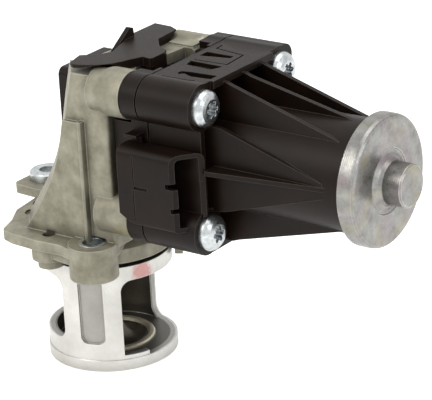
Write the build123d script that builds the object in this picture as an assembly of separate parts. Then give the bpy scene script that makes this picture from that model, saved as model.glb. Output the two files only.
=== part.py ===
from build123d import *
import math
import os

# Electric exhaust gas recirculation valve, in millimetres.
# +Z runs up the poppet stem, and the origin is on the stem axis at the lower face of the valve cage.
# +X runs along the motor axis, from the valve body towards the motor's end cap.

# ---- Fits -----------------------------------------------------------------------------------------
RUNNING = 0.05                  # radial clearance of a shaft in its bearing
SEATED = 0.02                   # clearance between pieces that are fixed to each other
SOFT_GAP = 0.3                  # gap between curved faces that never touch

# ---- Valve cage and seat --------------------------------------------------------------------------
CAGE_RADIUS = 21.75             # the ring that fits the gas passage
CAGE_RELIEF = 0.3               # how far the cage is turned down above that ring
CAGE_WALL = 3.0
CAGE_DECK_Z = 3.8               # top of the floor that holds the seat
CAGE_SHOULDER_Z = 37.4          # top of the cage's full diameter
SHOULDER_WIDTH = 3.75
SPIGOT_RADIUS = CAGE_RADIUS - SHOULDER_WIDTH
SPIGOT_WALL = 2.2
SPIGOT_LENGTH = 7.0
ROOF_THICKNESS = 5.7            # from the windows' tops to the shoulder
WINDOW_TOP_Z = CAGE_SHOULDER_Z - ROOF_THICKNESS
OUTLET_START, OUTLET_STEP, OUTLET_END = -42.0, -17.0, 83.0   # degrees about Z
OUTLET_LIP_Z = CAGE_DECK_Z + 1.4
SIDE_START, SIDE_END = 168.0, 261.5
SIDE_SILL_Z = CAGE_DECK_Z + 5.8
GROOVE_START, GROOVE_END = -81.0, -58.0
GROOVE_DEPTH = 0.9
WINDOW_CORNER = 4.0

SEAT_OUTER_RADIUS = 14.2
SEAT_BORE_RADIUS = 11.5
SEAT_BOTTOM_Z = 0.8
SEAT_PROUD = 0.9                # how far the seat ring stands above the deck
SEAT_CONE_WIDTH = 1.1
SEAT_CONE_TOP_Z = CAGE_DECK_Z - 0.2              # where the 45 degree seat face meets the seat bore

# ---- Poppet and its drive -------------------------------------------------------------------------
STEM_RADIUS = 3.0
POPPET_RIM_RADIUS = SEAT_BORE_RADIUS + 0.8
POPPET_THICKNESS = 2.2
SEAT_FACE_GAP = 0.085           # how far the poppet's cone lies below the seat's, along Z
LIFT = 6.0
CRANK_RADIUS = 12.0
ROLLER_RADIUS = 3.0
ROLLER_SLOT_CLEARANCE = 0.08
YOKE_HALF_WIDTH = 7.2
YOKE_HALF_DEPTH = 3.6
YOKE_WALL = 2.3

# ---- Shafts ---------------------------------------------------------------------------------------
FLANGE_GAP = 0.8                # from the cage's shoulder to the flange, filled by the seal
FLANGE_SEAT_Z = CAGE_SHOULDER_Z + FLANGE_GAP     # the plane that the valve is bolted down on
MOTOR_HEIGHT, OUTPUT_HEIGHT = 40.4, 47.8         # heights of the two axes above that plane
MOTOR_Y, MOTOR_Z = 2.0, FLANGE_SEAT_Z + MOTOR_HEIGHT
OUTPUT_Y, OUTPUT_Z = CRANK_RADIUS, FLANGE_SEAT_Z + OUTPUT_HEIGHT     # the crank reaches back to the stem
OUTPUT_SHAFT_RADIUS = 4.0
MOTOR_SHAFT_RADIUS = 2.0
AXLE_RADIUS = 1.5

# ---- Gear train -----------------------------------------------------------------------------------
PRESSURE_ANGLE = 20.0
PINION_TEETH, WHEEL_TEETH, FIRST_MODULE = 10, 30, 0.7
SECOND_PINION_TEETH, SECTOR_TEETH, SECOND_MODULE = 10, 50, 0.8
PROFILE_SHIFT = 0.4             # pinions get it added, wheels get it taken away
BACKLASH = 0.14                 # taken off each tooth's thickness at the pitch circle
SECTOR_TEETH_BEFORE, SECTOR_TEETH_AFTER = 6, 2

# ---- Valve body -----------------------------------------------------------------------------------
SEAL_RECESS_DEPTH = 0.2         # recess over the cage's shoulder
COLLAR_TOP_Z = FLANGE_SEAT_Z + 5.0
PLATE_BOTTOM_Z, PLATE_TOP_Z = FLANGE_SEAT_Z + 7.2, FLANGE_SEAT_Z + 10.8
FRONT_BOLT = (15.0, -25.8)
FRONT_BOSS_RADIUS = 8.0
FRONT_BOSS_TOP_Z = FLANGE_SEAT_Z + 11.5
FRONT_HOLE_RADIUS = 3.25
LOCATING_HOLE = (-3.2, -25.6)
LOCATING_BOSS_RADIUS = 6.0
LOCATING_HOLE_RADIUS = 2.2
REAR_LUG = (-32.0, 10.0)
REAR_LUG_BOTTOM_Z, REAR_LUG_TOP_Z = FLANGE_SEAT_Z + 10.0, FLANGE_SEAT_Z + 13.3
REAR_BUSH_TOP_Z = FLANGE_SEAT_Z + 16.3
REAR_BUSH_RADIUS = 6.3
REAR_HOLE_RADIUS = 3.0
TOWER_FRONT_Y = -23.0
MOUNT_FACE_X = 30.0             # where the plastic case meets the casting
TOWER_RIGHT_X = MOUNT_FACE_X - 7.7
HEAD_TOP_Z = FLANGE_SEAT_Z + 67.3
HEAD_STEP_Z = FLANGE_SEAT_Z + 59.4              # roof of the linkage chamber
HEAD_REAR_X = -9.0
BUTTRESS_RIGHT_X = 12.4
BUTTRESS_TOP_Z = FLANGE_SEAT_Z + 51.2
BUTTRESS_DEPTH = 1.5
GUIDE_WALL = 2.5
GUIDE_RADIUS = STEM_RADIUS + GUIDE_WALL
GUIDE_BOTTOM_Z, GUIDE_TOP_Z = PLATE_TOP_Z + 1.0, PLATE_TOP_Z + 23.0
SHIELD_DROP = 4.6               # from the guide's lower end down to the soot shield
CRANK_CHAMBER = (               # low and high corners of the linkage space
    (HEAD_REAR_X - 0.5, -9.2, GUIDE_TOP_Z + 2.0), (8.0, 19.6, HEAD_STEP_Z - 2.0),
)
SHAFT_BUSH_WALL = 2.0
SHAFT_BUSH_RADIUS = OUTPUT_SHAFT_RADIUS + SHAFT_BUSH_WALL
SHAFT_BUSH_LENGTH = 7.0
SHAFT_SEAL_THICKNESS = 2.4
BEARING_BOSS_RADIUS = SHAFT_BUSH_RADIUS + 1.4
SPRING_WIRE_RADIUS = 0.9
SPRING_CHAMBER_RADIUS = BEARING_BOSS_RADIUS + 6.2
SPRING_CHAMBER_X = CRANK_CHAMBER[1][0] + 9.5

# ---- Actuator -------------------------------------------------------------------------------------
CASE_JOINT_X = MOUNT_FACE_X + 6.2
GASKET_THICKNESS = 0.6
CASE_FLOOR = 2.4
BULKHEAD_X = MOUNT_FACE_X + 16.0
BULKHEAD_THICKNESS = 4.0
HEAD_SEAT_X = MOUNT_FACE_X + 26.7                # where the screw heads sit
SCREW_Y = (-18.8, 23.0)
SCREW_Z = (FLANGE_SEAT_Z + 20.9, FLANGE_SEAT_Z + 61.9)
SCREW_BOSS_RADIUS = 7.6
SCREW_RADIUS = 3.0
SCREW_HEAD_RADIUS = 5.9
SCREW_HEAD_HEIGHT = 3.9
CASE_TOP_Z, CASE_BOTTOM_Z = FLANGE_SEAT_Z + 69.2, FLANGE_SEAT_Z + 13.4
CASE_LEFT_Y, CASE_RIGHT_Y = -20.4, 30.8
CASE_WALL = 2.0
SLEEVE_RADIUS = 18.1
SLEEVE_WALL = 1.7
SLEEVE_LENGTH = 47.9            # from the screw heads' seats
SLEEVE_END_X = HEAD_SEAT_X + SLEEVE_LENGTH
WEB_THICKNESS = 1.5
WEB_PITCH = 10.2
WEB_END_X = SLEEVE_END_X - 4.6
CAP_RADIUS = SLEEVE_RADIUS + 2.9
CAP_END_X = SLEEVE_END_X + 5.9
CAP_BOSS_RADIUS = 6.9
CAP_BOSS_END_X = CAP_END_X + 8.2

# Slots in the case's top: start and end X from the mounting face, middle Y, width.
TOP_SLOTS = (
    (13.0, 27.5, -10.6, 1.5), (11.0, 21.5, -3.0, 2.6), (10.5, 21.0, 4.2, 3.0), (10.0, 23.0, 11.0, 1.4),
)
TOP_SLOT_DEPTH = 1.6

# ---- Shaft and gear places, and the motor ---------------------------------------------------------
CRANK_WEB_X = (YOKE_HALF_DEPTH + 0.7, YOKE_HALF_DEPTH + 3.8)
SECTOR_X = (MOUNT_FACE_X + 3.8, MOUNT_FACE_X + 8.6)
WHEEL_X = (SECTOR_X[1] + 1.7, SECTOR_X[1] + 5.7)
CAN_X = (BULKHEAD_X + 7.2, SLEEVE_END_X + 1.8)
CAN_WALL = 1.4
CAN_RADIUS = SLEEVE_RADIUS - SLEEVE_WALL - SEATED
MAGNET_THICKNESS = 2.6
AIR_GAP = 0.96                  # between the magnets and the armature
ARMATURE_RADIUS = CAN_RADIUS - CAN_WALL - SEATED - MAGNET_THICKNESS - AIR_GAP
COMMUTATOR_X = (SLEEVE_END_X - 11.1, SLEEVE_END_X - 4.6)
COMMUTATOR_RADIUS = 5.0
ARMATURE_X = (CAN_X[0] + 8.8, COMMUTATOR_X[0] - 5.5)
BRUSH_PLATE_X = (COMMUTATOR_X[0] - 0.9, COMMUTATOR_X[1] + 0.6)
DRIVE_BEARING_RADIUS = 4.6
BEARING_LENGTH = 5.0
CAP_FACE = 4.0                  # thickness of the end cap behind its front face

# ---- Plug connector -------------------------------------------------------------------------------
CONNECTOR_DEPTH = 8.9
CONNECTOR_Y = (CASE_LEFT_Y - 0.1 - CONNECTOR_DEPTH, CASE_LEFT_Y - 0.1)
CONNECTOR_Z = (FLANGE_SEAT_Z + 22.8, FLANGE_SEAT_Z + 48.2)
CONNECTOR_NEAR_X = MOUNT_FACE_X + 21.4                             # its mouth is cut at a slant
CONNECTOR_FAR_X = MOUNT_FACE_X + 27.8
CONNECTOR_WALL = 1.5
CONNECTOR_FLOOR_X = MOUNT_FACE_X + 10.0
TERMINAL_COUNT = 5

# ---- Worked out from the values above -------------------------------------------------------------
MOTOR_AXIS = (MOTOR_Y, MOTOR_Z)
OUTPUT_AXIS = (OUTPUT_Y, OUTPUT_Z)
FIRST_CENTRES = FIRST_MODULE * (PINION_TEETH + WHEEL_TEETH) / 2
SECOND_CENTRES = SECOND_MODULE * (SECOND_PINION_TEETH + SECTOR_TEETH) / 2
SCREW_AXES = [(y, z) for y in SCREW_Y for z in SCREW_Z]
HOUSING_START_X = CASE_JOINT_X + GASKET_THICKNESS
SWING = math.degrees(math.asin(LIFT / 2 / CRANK_RADIUS))     # half of the crank's travel
PIN_Z = OUTPUT_Z + LIFT / 2                                  # crank pin's height with the valve shut


def intermediate_axis():
    """Where the compound gear's axle goes: both pairs of gears are at their centre distances."""
    dy, dz = OUTPUT_Y - MOTOR_Y, OUTPUT_Z - MOTOR_Z
    apart = math.hypot(dy, dz)
    along = (FIRST_CENTRES**2 - SECOND_CENTRES**2 + apart**2) / (2 * apart)
    across = math.sqrt(FIRST_CENTRES**2 - along**2)
    return (
        MOTOR_Y + (along * dy + across * dz) / apart,
        MOTOR_Z + (along * dz - across * dy) / apart,
    )


AXLE_AXIS = intermediate_axis()


# ---- Small helpers --------------------------------------------------------------------------------
def along_x(sketch, start, end):
    """Extrudes a sketch, drawn in Y and Z, between two values of X."""
    return Pos(start, 0, 0) * extrude(Plane.YZ * sketch, end - start, dir=(1, 0, 0))


def along_z(sketch, start, end):
    """Extrudes a sketch, drawn in X and Y, between two values of Z."""
    return Pos(0, 0, start) * extrude(sketch, end - start, dir=(0, 0, 1))


def along_y(sketch, start, end):
    """Extrudes a sketch, drawn in X and Z, between two values of Y."""
    return Pos(0, end, 0) * extrude(Plane.XZ * sketch, end - start, dir=(0, -1, 0))


def rod_x(centre, radius, start, end):
    """A round bar along X about a (Y, Z) centre."""
    return along_x(Pos(*centre) * Circle(radius), start, end)


def rod_z(centre, radius, start, end):
    """A round bar along Z about an (X, Y) centre."""
    return along_z(Pos(*centre) * Circle(radius), start, end)


def tube_x(centre, outer, inner, start, end):
    """A round tube along X about a (Y, Z) centre."""
    return along_x(Pos(*centre) * (Circle(outer) - Circle(inner)), start, end)


def block(low, high):
    """A box between its lowest and its highest corner."""
    size = [b - a for a, b in zip(low, high)]
    middle = [(a + b) / 2 for a, b in zip(low, high)]
    return Pos(*middle) * Box(*size)


def rounded(points, radius):
    """A polygon with all its corners rounded."""
    outline = Polygon(*points, align=None)
    return fillet(outline.vertices(), radius)


def slab(low, high, radius):
    """A rounded rectangle between two corners of the drawing plane."""
    size = [b - a for a, b in zip(low, high)]
    middle = [(a + b) / 2 for a, b in zip(low, high)]
    return Pos(*middle) * RectangleRounded(*size, radius)


def turned(points):
    """A solid turned about Z from a closed outline of (radius, height) points."""
    return revolve(Plane.XZ * Polygon(*points, align=None), Axis.Z)


def turned_x(points, centre):
    """A solid turned about an axis along X from a closed outline of (X, radius) points."""
    profile = Plane.XY * Polygon(*points, align=None)
    return Pos(0, *centre) * revolve(profile, Axis.X)


def sector(inner, outer, bottom, top, start, end):
    """A block of a ring about Z, between two angles in degrees."""
    profile = Pos((inner + outer) / 2, (bottom + top) / 2) * Rectangle(outer - inner, top - bottom)
    return Rot(0, 0, start) * revolve(Plane.XZ * profile, Axis.Z, revolution_arc=end - start)


# ---- Gears ----------------------------------------------------------------------------------------
def tooth_outline(module, teeth, shift, samples=4):
    """Half of an involute tooth as (radius, half angle in radians) points, from root to tip."""
    pressure = math.radians(PRESSURE_ANGLE)
    pitch = module * teeth / 2
    base = pitch * math.cos(pressure)
    root = pitch - module * (1.25 - shift)
    tip = pitch + module * (1 + shift)
    thickness = module * (math.pi / 2 + 2 * shift * math.tan(pressure)) - BACKLASH
    involute = math.tan(pressure) - pressure
    start = max(base, root)
    points = [] if root >= base else [(root, thickness / 2 / pitch + involute)]
    for step in range(samples):
        radius = start + (tip - start) * step / (samples - 1)
        angle = math.acos(min(1.0, base / radius))
        points.append((radius, thickness / 2 / pitch + involute - (math.tan(angle) - angle)))
    return points


def gear_sketch(module, teeth, shift, first_angle, count=None):
    """A gear's outline in Y and Z; first_angle is the middle of its first tooth, in degrees."""
    half = tooth_outline(module, teeth, shift)
    root = half[0][0]
    sketch = Circle(root + 0.01)
    for index in range(teeth if count is None else count):
        middle = math.radians(first_angle + 360 / teeth * index)
        rising = [(r, middle - a) for r, a in half]
        falling = [(r, middle + a) for r, a in reversed(half)]
        inner = [(root - module / 2, middle + half[0][1]), (root - module / 2, middle - half[0][1])]
        points = [(r * math.cos(a), r * math.sin(a)) for r, a in rising + falling + inner]
        sketch += Polygon(*points, align=None)
    return sketch


def bearing_angle(origin, target):
    """Direction from one (Y, Z) axis to another, in degrees."""
    return math.degrees(math.atan2(target[1] - origin[1], target[0] - origin[0]))


# ---- Valve cage, seat and poppet ------------------------------------------------------------------
def valve_cage():
    """Ported sleeve that reaches into the gas passage, with a floor that holds the seat."""
    inside = CAGE_RADIUS - CAGE_WALL
    spigot_inside = SPIGOT_RADIUS - SPIGOT_WALL
    seat_pocket = SEAT_OUTER_RADIUS + SEATED
    relieved = CAGE_RADIUS - CAGE_RELIEF
    cage = turned([
        (seat_pocket, 0.0), (CAGE_RADIUS, 0.0), (CAGE_RADIUS, CAGE_DECK_Z), (relieved, CAGE_DECK_Z),
        (relieved, CAGE_SHOULDER_Z - 0.5), (relieved - 0.5, CAGE_SHOULDER_Z),
        (SPIGOT_RADIUS, CAGE_SHOULDER_Z), (SPIGOT_RADIUS, CAGE_SHOULDER_Z + SPIGOT_LENGTH),
        (spigot_inside, CAGE_SHOULDER_Z + SPIGOT_LENGTH), (spigot_inside, WINDOW_TOP_Z + 2),
        (inside, WINDOW_TOP_Z), (inside, CAGE_DECK_Z), (seat_pocket, CAGE_DECK_Z),
    ])
    reach_in, reach_out = inside - 1.5, CAGE_RADIUS + 2
    outlet = sector(reach_in, reach_out, CAGE_DECK_Z, WINDOW_TOP_Z, OUTLET_STEP - 1, OUTLET_END)
    outlet += sector(reach_in, reach_out, OUTLET_LIP_Z, WINDOW_TOP_Z, OUTLET_START, OUTLET_STEP)
    side = sector(reach_in, reach_out, SIDE_SILL_Z, WINDOW_TOP_Z, SIDE_START, SIDE_END)
    for window in (outlet, side):
        low, high = window.bounding_box().min.Z, window.bounding_box().max.Z
        corners = [
            edge for edge in window.edges().filter_by(GeomType.LINE)
            if abs(edge.tangent_at(0).Z) < 0.01 and edge.length > reach_out - reach_in - 0.1
            and (abs(edge.center().Z - low) < 0.01 or abs(edge.center().Z - high) < 0.01)
            and abs(math.degrees(math.atan2(edge.center().Y, edge.center().X)) - OUTLET_STEP) > 2
        ]
        cage -= fillet(corners, WINDOW_CORNER)
    groove = sector(
        relieved - GROOVE_DEPTH, CAGE_RADIUS + 1, SIDE_SILL_Z, CAGE_SHOULDER_Z + 1, GROOVE_START, GROOVE_END
    )
    return cage - groove


def valve_seat():
    """Hard ring pressed into the cage's floor, with a 45 degree face on its underside."""
    top = CAGE_DECK_Z + SEAT_PROUD
    mouth = SEAT_BORE_RADIUS + SEAT_CONE_WIDTH
    return turned([
        (mouth, SEAT_BOTTOM_Z), (SEAT_OUTER_RADIUS, SEAT_BOTTOM_Z), (SEAT_OUTER_RADIUS, top - 0.5),
        (SEAT_OUTER_RADIUS - 0.5, top), (SEAT_BORE_RADIUS + 0.8, top), (SEAT_BORE_RADIUS, top - 0.7),
        (SEAT_BORE_RADIUS, SEAT_CONE_TOP_Z), (mouth, SEAT_CONE_TOP_Z - SEAT_CONE_WIDTH),
    ])


def poppet_valve():
    """Poppet head and stem in one piece."""
    cone_sum = SEAT_BORE_RADIUS + SEAT_CONE_TOP_Z - SEAT_FACE_GAP      # radius + height on the cone
    head_radius = SEAT_BORE_RADIUS - 0.4
    bottom = cone_sum - POPPET_RIM_RADIUS - POPPET_THICKNESS + 0.3
    stem_top = PIN_Z - ROLLER_RADIUS - ROLLER_SLOT_CLEARANCE - 0.5
    profile = make_face([
        Polyline(
            (0, bottom), (POPPET_RIM_RADIUS - 0.8, bottom), (POPPET_RIM_RADIUS, bottom + 0.8),
            (POPPET_RIM_RADIUS, cone_sum - POPPET_RIM_RADIUS), (head_radius, cone_sum - head_radius),
        ),
        Spline(
            (head_radius, cone_sum - head_radius), (STEM_RADIUS + 2, cone_sum - head_radius + 2),
            (STEM_RADIUS, cone_sum - head_radius + 8), tangents=((-1, 0), (0, 1)),
        ),
        Polyline(
            (STEM_RADIUS, cone_sum - head_radius + 8), (STEM_RADIUS, stem_top - 0.6),
            (STEM_RADIUS - 0.6, stem_top), (0, stem_top), (0, bottom),
        ),
    ])
    return revolve(Plane.XZ * profile, Axis.Z)


def stem_yoke():
    """Block on top of the stem, with the slot that the crank's roller works in."""
    slot_half_height = ROLLER_RADIUS + ROLLER_SLOT_CLEARANCE
    half_height = slot_half_height + YOKE_WALL
    slot_half_width = ROLLER_RADIUS + 1.2
    socket_depth = 2.0
    outline = slab(
        (-YOKE_HALF_WIDTH, PIN_Z - half_height), (YOKE_HALF_WIDTH, PIN_Z + half_height), 2.5
    )
    outline -= slab(
        (-slot_half_width, PIN_Z - slot_half_height), (slot_half_width, PIN_Z + slot_half_height),
        slot_half_height - 0.4,
    )
    yoke = along_x(outline, -YOKE_HALF_DEPTH, YOKE_HALF_DEPTH)
    collar_bottom = PIN_Z - half_height - socket_depth
    yoke += rod_z((0, 0), STEM_RADIUS + 1.8, collar_bottom, PIN_Z - half_height + 0.5)
    socket_top = PIN_Z - slot_half_height - 0.5 + SEATED
    return yoke - rod_z((0, 0), STEM_RADIUS + SEATED, collar_bottom - 1, socket_top)


def stem_guide():
    """Sintered bush that guides the stem in the body."""
    bush = rod_z((0, 0), GUIDE_RADIUS, GUIDE_BOTTOM_Z, GUIDE_TOP_Z)
    bush -= rod_z((0, 0), STEM_RADIUS + RUNNING, GUIDE_BOTTOM_Z - 1, GUIDE_TOP_Z + 1)
    return chamfer(bush.edges().filter_by(GeomType.CIRCLE).group_by(Axis.Z)[0], 0.4)


def stem_seal():
    """Lip seal above the guide that keeps gas out of the linkage chamber."""
    height = 3.2
    return turned([
        (STEM_RADIUS + RUNNING, GUIDE_TOP_Z + 0.6), (STEM_RADIUS + 0.9, GUIDE_TOP_Z + SEATED),
        (GUIDE_RADIUS, GUIDE_TOP_Z + SEATED), (GUIDE_RADIUS, GUIDE_TOP_Z + height),
        (STEM_RADIUS + 1.4, GUIDE_TOP_Z + height), (STEM_RADIUS + 1.4, GUIDE_TOP_Z + 1.6),
        (STEM_RADIUS + RUNNING, GUIDE_TOP_Z + 1.1),
    ])


def soot_shield():
    """Dished washer under the guide that turns hot gas away from it."""
    bottom = GUIDE_BOTTOM_Z - SHIELD_DROP
    brim = SPIGOT_RADIUS - SPIGOT_WALL - 6
    bore = STEM_RADIUS + 0.35
    return turned([
        (bore, bottom), (brim, bottom - 1.2), (brim, bottom - 0.2), (GUIDE_RADIUS + 1.0, bottom + 1.0),
        (GUIDE_RADIUS + 1.0, GUIDE_BOTTOM_Z - SEATED), (GUIDE_RADIUS, GUIDE_BOTTOM_Z - SEATED),
        (GUIDE_RADIUS, bottom + 1.0), (bore, bottom + 1.0),
    ])


def cage_seal():
    """Ring between the cage's shoulder and the flange."""
    squeezed = FLANGE_SEAT_Z + SEAL_RECESS_DEPTH - CAGE_SHOULDER_Z - 2 * SEATED
    ring = Circle(SPIGOT_RADIUS + 2.2) - Circle(SPIGOT_RADIUS + 2 * SEATED)
    return along_z(ring, CAGE_SHOULDER_Z + SEATED, CAGE_SHOULDER_Z + SEATED + squeezed)


# ---- Valve body -----------------------------------------------------------------------------------
def flange():
    """Bolting flange: collar, plate, bolt bosses and the rear lug."""
    collar = rod_z((0, 0), CAGE_RADIUS + 0.4, FLANGE_SEAT_Z, COLLAR_TOP_Z)
    neck = Pos(0, 0, COLLAR_TOP_Z) * Cone(
        CAGE_RADIUS + 0.4, CAGE_RADIUS - 3.4, PLATE_TOP_Z - COLLAR_TOP_Z,
        align=(Align.CENTER, Align.CENTER, Align.MIN),
    )
    plate = rounded([
        (-19.5, -29.5), (-14.5, -31.2), (-4.0, -32.0), (6.0, -31.4), (12.5, -33.4), (21.0, -30.0),
        (22.5, -22.0), (16.0, -8.0), (10.0, 18.0), (-14.0, 20.0), (-29.0, 4.0), (-26.5, -14.0),
        (-22.0, -22.0),
    ], 1.6)
    body = collar + neck + along_z(plate, PLATE_BOTTOM_Z, PLATE_TOP_Z)
    body += rod_z(FRONT_BOLT, FRONT_BOSS_RADIUS, FLANGE_SEAT_Z, FRONT_BOSS_TOP_Z)
    body += rod_z(LOCATING_HOLE, LOCATING_BOSS_RADIUS, FLANGE_SEAT_Z, PLATE_TOP_Z)
    lug_x, lug_y = REAR_LUG
    lug = rounded([
        (lug_x - 7.2, lug_y - 10.2), (HEAD_REAR_X, lug_y - 12.0), (HEAD_REAR_X, lug_y + 8.0),
        (lug_x + 2, lug_y + 9.0), (lug_x - 7.2, lug_y + 6.5),
    ], 2.4)
    return body + along_z(lug, REAR_LUG_BOTTOM_Z, REAR_LUG_TOP_Z)


def tower():
    """Web and block that carry the stem guide, the linkage chamber and the actuator."""
    left_edge = [
        (-14.2, PLATE_TOP_Z - 1), (-6.3, PLATE_TOP_Z + 10.4), (0.3, PLATE_TOP_Z + 22.7),
        (5.2, PLATE_TOP_Z + 40.7), (9.0, HEAD_TOP_Z),
    ]
    slope_x, slope_y = -0.64, 0.77               # the tower's left side runs back along this line
    web_outline = make_face([
        Spline(*left_edge),
        Polyline(
            left_edge[-1], (TOWER_RIGHT_X - 1, HEAD_TOP_Z), (TOWER_RIGHT_X - 1, PLATE_TOP_Z - 1),
            left_edge[0],
        ),
    ])
    web = Pos(0, TOWER_FRONT_Y, 0) * extrude(Plane.XZ * web_outline, 13.0, dir=(slope_x, slope_y, 0))
    pad_outline = web_outline & (Pos(BUTTRESS_RIGHT_X - 30, BUTTRESS_TOP_Z - 40) * Rectangle(60, 80))
    web += Pos(0, TOWER_FRONT_Y, 0) * extrude(Plane.XZ * pad_outline, BUTTRESS_DEPTH, dir=(0, -1, 0))
    core = rounded([
        (9.0, TOWER_FRONT_Y), (TOWER_RIGHT_X, TOWER_FRONT_Y), (TOWER_RIGHT_X, 16.0), (-6.0, 16.0),
        (-9.0, 4.0), (-7.0, -4.0),
    ], 1.2)
    body = web + along_z(core, PLATE_TOP_Z - 1, HEAD_STEP_Z)
    chamber_block = rounded([
        (9.0, TOWER_FRONT_Y), (TOWER_RIGHT_X, TOWER_FRONT_Y), (TOWER_RIGHT_X, 24.5), (HEAD_REAR_X, 24.5),
        (HEAD_REAR_X, -1.4),
    ], 1.2)
    body += along_z(chamber_block, CRANK_CHAMBER[0][2] - 3.0, HEAD_STEP_Z)
    crown = rounded([
        (9.0, TOWER_FRONT_Y), (MOUNT_FACE_X - 1, TOWER_FRONT_Y), (MOUNT_FACE_X - 0.6, 24.0), (7.2, 24.0),
        (6.6, 6.0), (5.4, -12.0),
    ], 1.0)
    return body + along_z(crown, HEAD_STEP_Z - 0.5, HEAD_TOP_Z)


def actuator_mount():
    """Face and screw bosses that the plastic case is screwed to."""
    plate = slab((-9.5, CASE_BOTTOM_Z + 1.5), (CASE_RIGHT_Y - 1.0, HEAD_TOP_Z - 0.5), 5.0)
    body = along_x(plate, TOWER_RIGHT_X - 2, MOUNT_FACE_X)
    for centre in SCREW_AXES:
        body += rod_x(centre, SCREW_BOSS_RADIUS - 0.4, TOWER_RIGHT_X - 6, MOUNT_FACE_X)
    return body


def valve_body():
    """Aluminium casting."""
    body = flange() + tower() + actuator_mount()
    body -= block(*CRANK_CHAMBER)
    spring_space = rod_x(OUTPUT_AXIS, SPRING_CHAMBER_RADIUS, SPRING_CHAMBER_X, MOUNT_FACE_X + 1)
    spring_space -= rod_x(OUTPUT_AXIS, BEARING_BOSS_RADIUS, SPRING_CHAMBER_X - 1, MOUNT_FACE_X - 3)
    body -= spring_space
    body -= block((SPRING_CHAMBER_X, -14.6, HEAD_STEP_Z - 2), (MOUNT_FACE_X + 1, 14.6, HEAD_TOP_Z + 5))
    body -= rod_x(OUTPUT_AXIS, SHAFT_BUSH_RADIUS + SEATED, 0, MOUNT_FACE_X)
    spigot_top_z = CAGE_SHOULDER_Z + SPIGOT_LENGTH + 0.1
    gas_way = rod_z((0, 0), SPIGOT_RADIUS + SEATED, FLANGE_SEAT_Z - 10, spigot_top_z)
    gas_way += rod_z((0, 0), SPIGOT_RADIUS - SPIGOT_WALL, CAGE_SHOULDER_Z, GUIDE_BOTTOM_Z - 3.4)
    gas_way += rod_z((0, 0), GUIDE_RADIUS + 1 + SEATED, CAGE_SHOULDER_Z, GUIDE_BOTTOM_Z)
    body -= gas_way
    body -= rod_z((0, 0), CAGE_RADIUS + 0.65, FLANGE_SEAT_Z - 10, FLANGE_SEAT_Z + SEAL_RECESS_DEPTH)
    body -= rod_z((0, 0), GUIDE_RADIUS + SEATED, GUIDE_BOTTOM_Z - 1, GUIDE_TOP_Z + 15.6)
    body -= rod_z(FRONT_BOLT, FRONT_HOLE_RADIUS + 1.35, FLANGE_SEAT_Z - 1, FRONT_BOSS_TOP_Z + 1)
    body -= rod_z(LOCATING_HOLE, LOCATING_HOLE_RADIUS, FLANGE_SEAT_Z - 1, PLATE_TOP_Z + 1)
    body -= rod_z(REAR_LUG, REAR_HOLE_RADIUS + 1.2, REAR_LUG_BOTTOM_Z - 1, REAR_LUG_TOP_Z + 1)
    for centre in SCREW_AXES:
        body -= rod_x(centre, SCREW_RADIUS + SEATED, TOWER_RIGHT_X - 1.5, MOUNT_FACE_X + 1)
    for x, y, turn in ((-21.4, -13.4, -62), (-24.4, -5.6, -62)):
        recess = Pos(x, y) * Rot(0, 0, turn) * Ellipse(2.6, 1.5)
        body -= along_z(recess, PLATE_TOP_Z - 0.9, PLATE_TOP_Z + 1)
    return body


def flange_bush():
    """Steel sleeve that takes the front bolt's clamping load."""
    outer = FRONT_HOLE_RADIUS + 1.35 - SEATED
    ring = Pos(*FRONT_BOLT) * (Circle(outer) - Circle(FRONT_HOLE_RADIUS))
    return along_z(ring, FLANGE_SEAT_Z, FRONT_BOSS_TOP_Z + 0.25)


def rear_lug_bush():
    """Collared steel sleeve in the rear lug."""
    shank = Pos(*REAR_LUG) * (Circle(REAR_HOLE_RADIUS + 1.2 - SEATED) - Circle(REAR_HOLE_RADIUS))
    collar = Pos(*REAR_LUG) * (Circle(REAR_BUSH_RADIUS) - Circle(REAR_HOLE_RADIUS))
    bush = along_z(collar, REAR_LUG_TOP_Z, REAR_BUSH_TOP_Z)
    rim = bush.edges().filter_by(GeomType.CIRCLE).group_by(Axis.Z)[-1].sort_by(SortBy.RADIUS)[-1]
    return chamfer(rim, 0.5) + along_z(shank, REAR_LUG_BOTTOM_Z, REAR_LUG_TOP_Z)


# ---- Output crank ---------------------------------------------------------------------------------
def output_shaft():
    """Shaft from the crank, through the casting, into the gear case."""
    return rod_x(OUTPUT_AXIS, OUTPUT_SHAFT_RADIUS, CRANK_WEB_X[0], SECTOR_X[1] + 0.8)


def crank_pin_centre():
    """The crank pin's (Y, Z) with the valve shut."""
    swing = math.radians(SWING)
    return (OUTPUT_Y - CRANK_RADIUS * math.cos(swing), OUTPUT_Z + CRANK_RADIUS * math.sin(swing))


def crank_lever():
    """Lever on the shaft's end, with the pin that the roller turns on."""
    hub = Pos(*OUTPUT_AXIS) * Circle(OUTPUT_SHAFT_RADIUS + 2.6)
    eye = Pos(*crank_pin_centre()) * Circle(ROLLER_RADIUS)
    web = make_hull((hub + eye).edges()) - Pos(*OUTPUT_AXIS) * Circle(OUTPUT_SHAFT_RADIUS + SEATED)
    pin = rod_x(crank_pin_centre(), ROLLER_RADIUS - 1.3, -YOKE_HALF_DEPTH - 0.8, CRANK_WEB_X[0] + 0.5)
    return along_x(web, *CRANK_WEB_X) + pin


def crank_roller():
    """Roller on the crank pin, which works in the yoke's slot."""
    return tube_x(
        crank_pin_centre(), ROLLER_RADIUS, ROLLER_RADIUS - 1.3 + SEATED, -YOKE_HALF_DEPTH,
        CRANK_WEB_X[0] - 0.1,
    )


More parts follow.
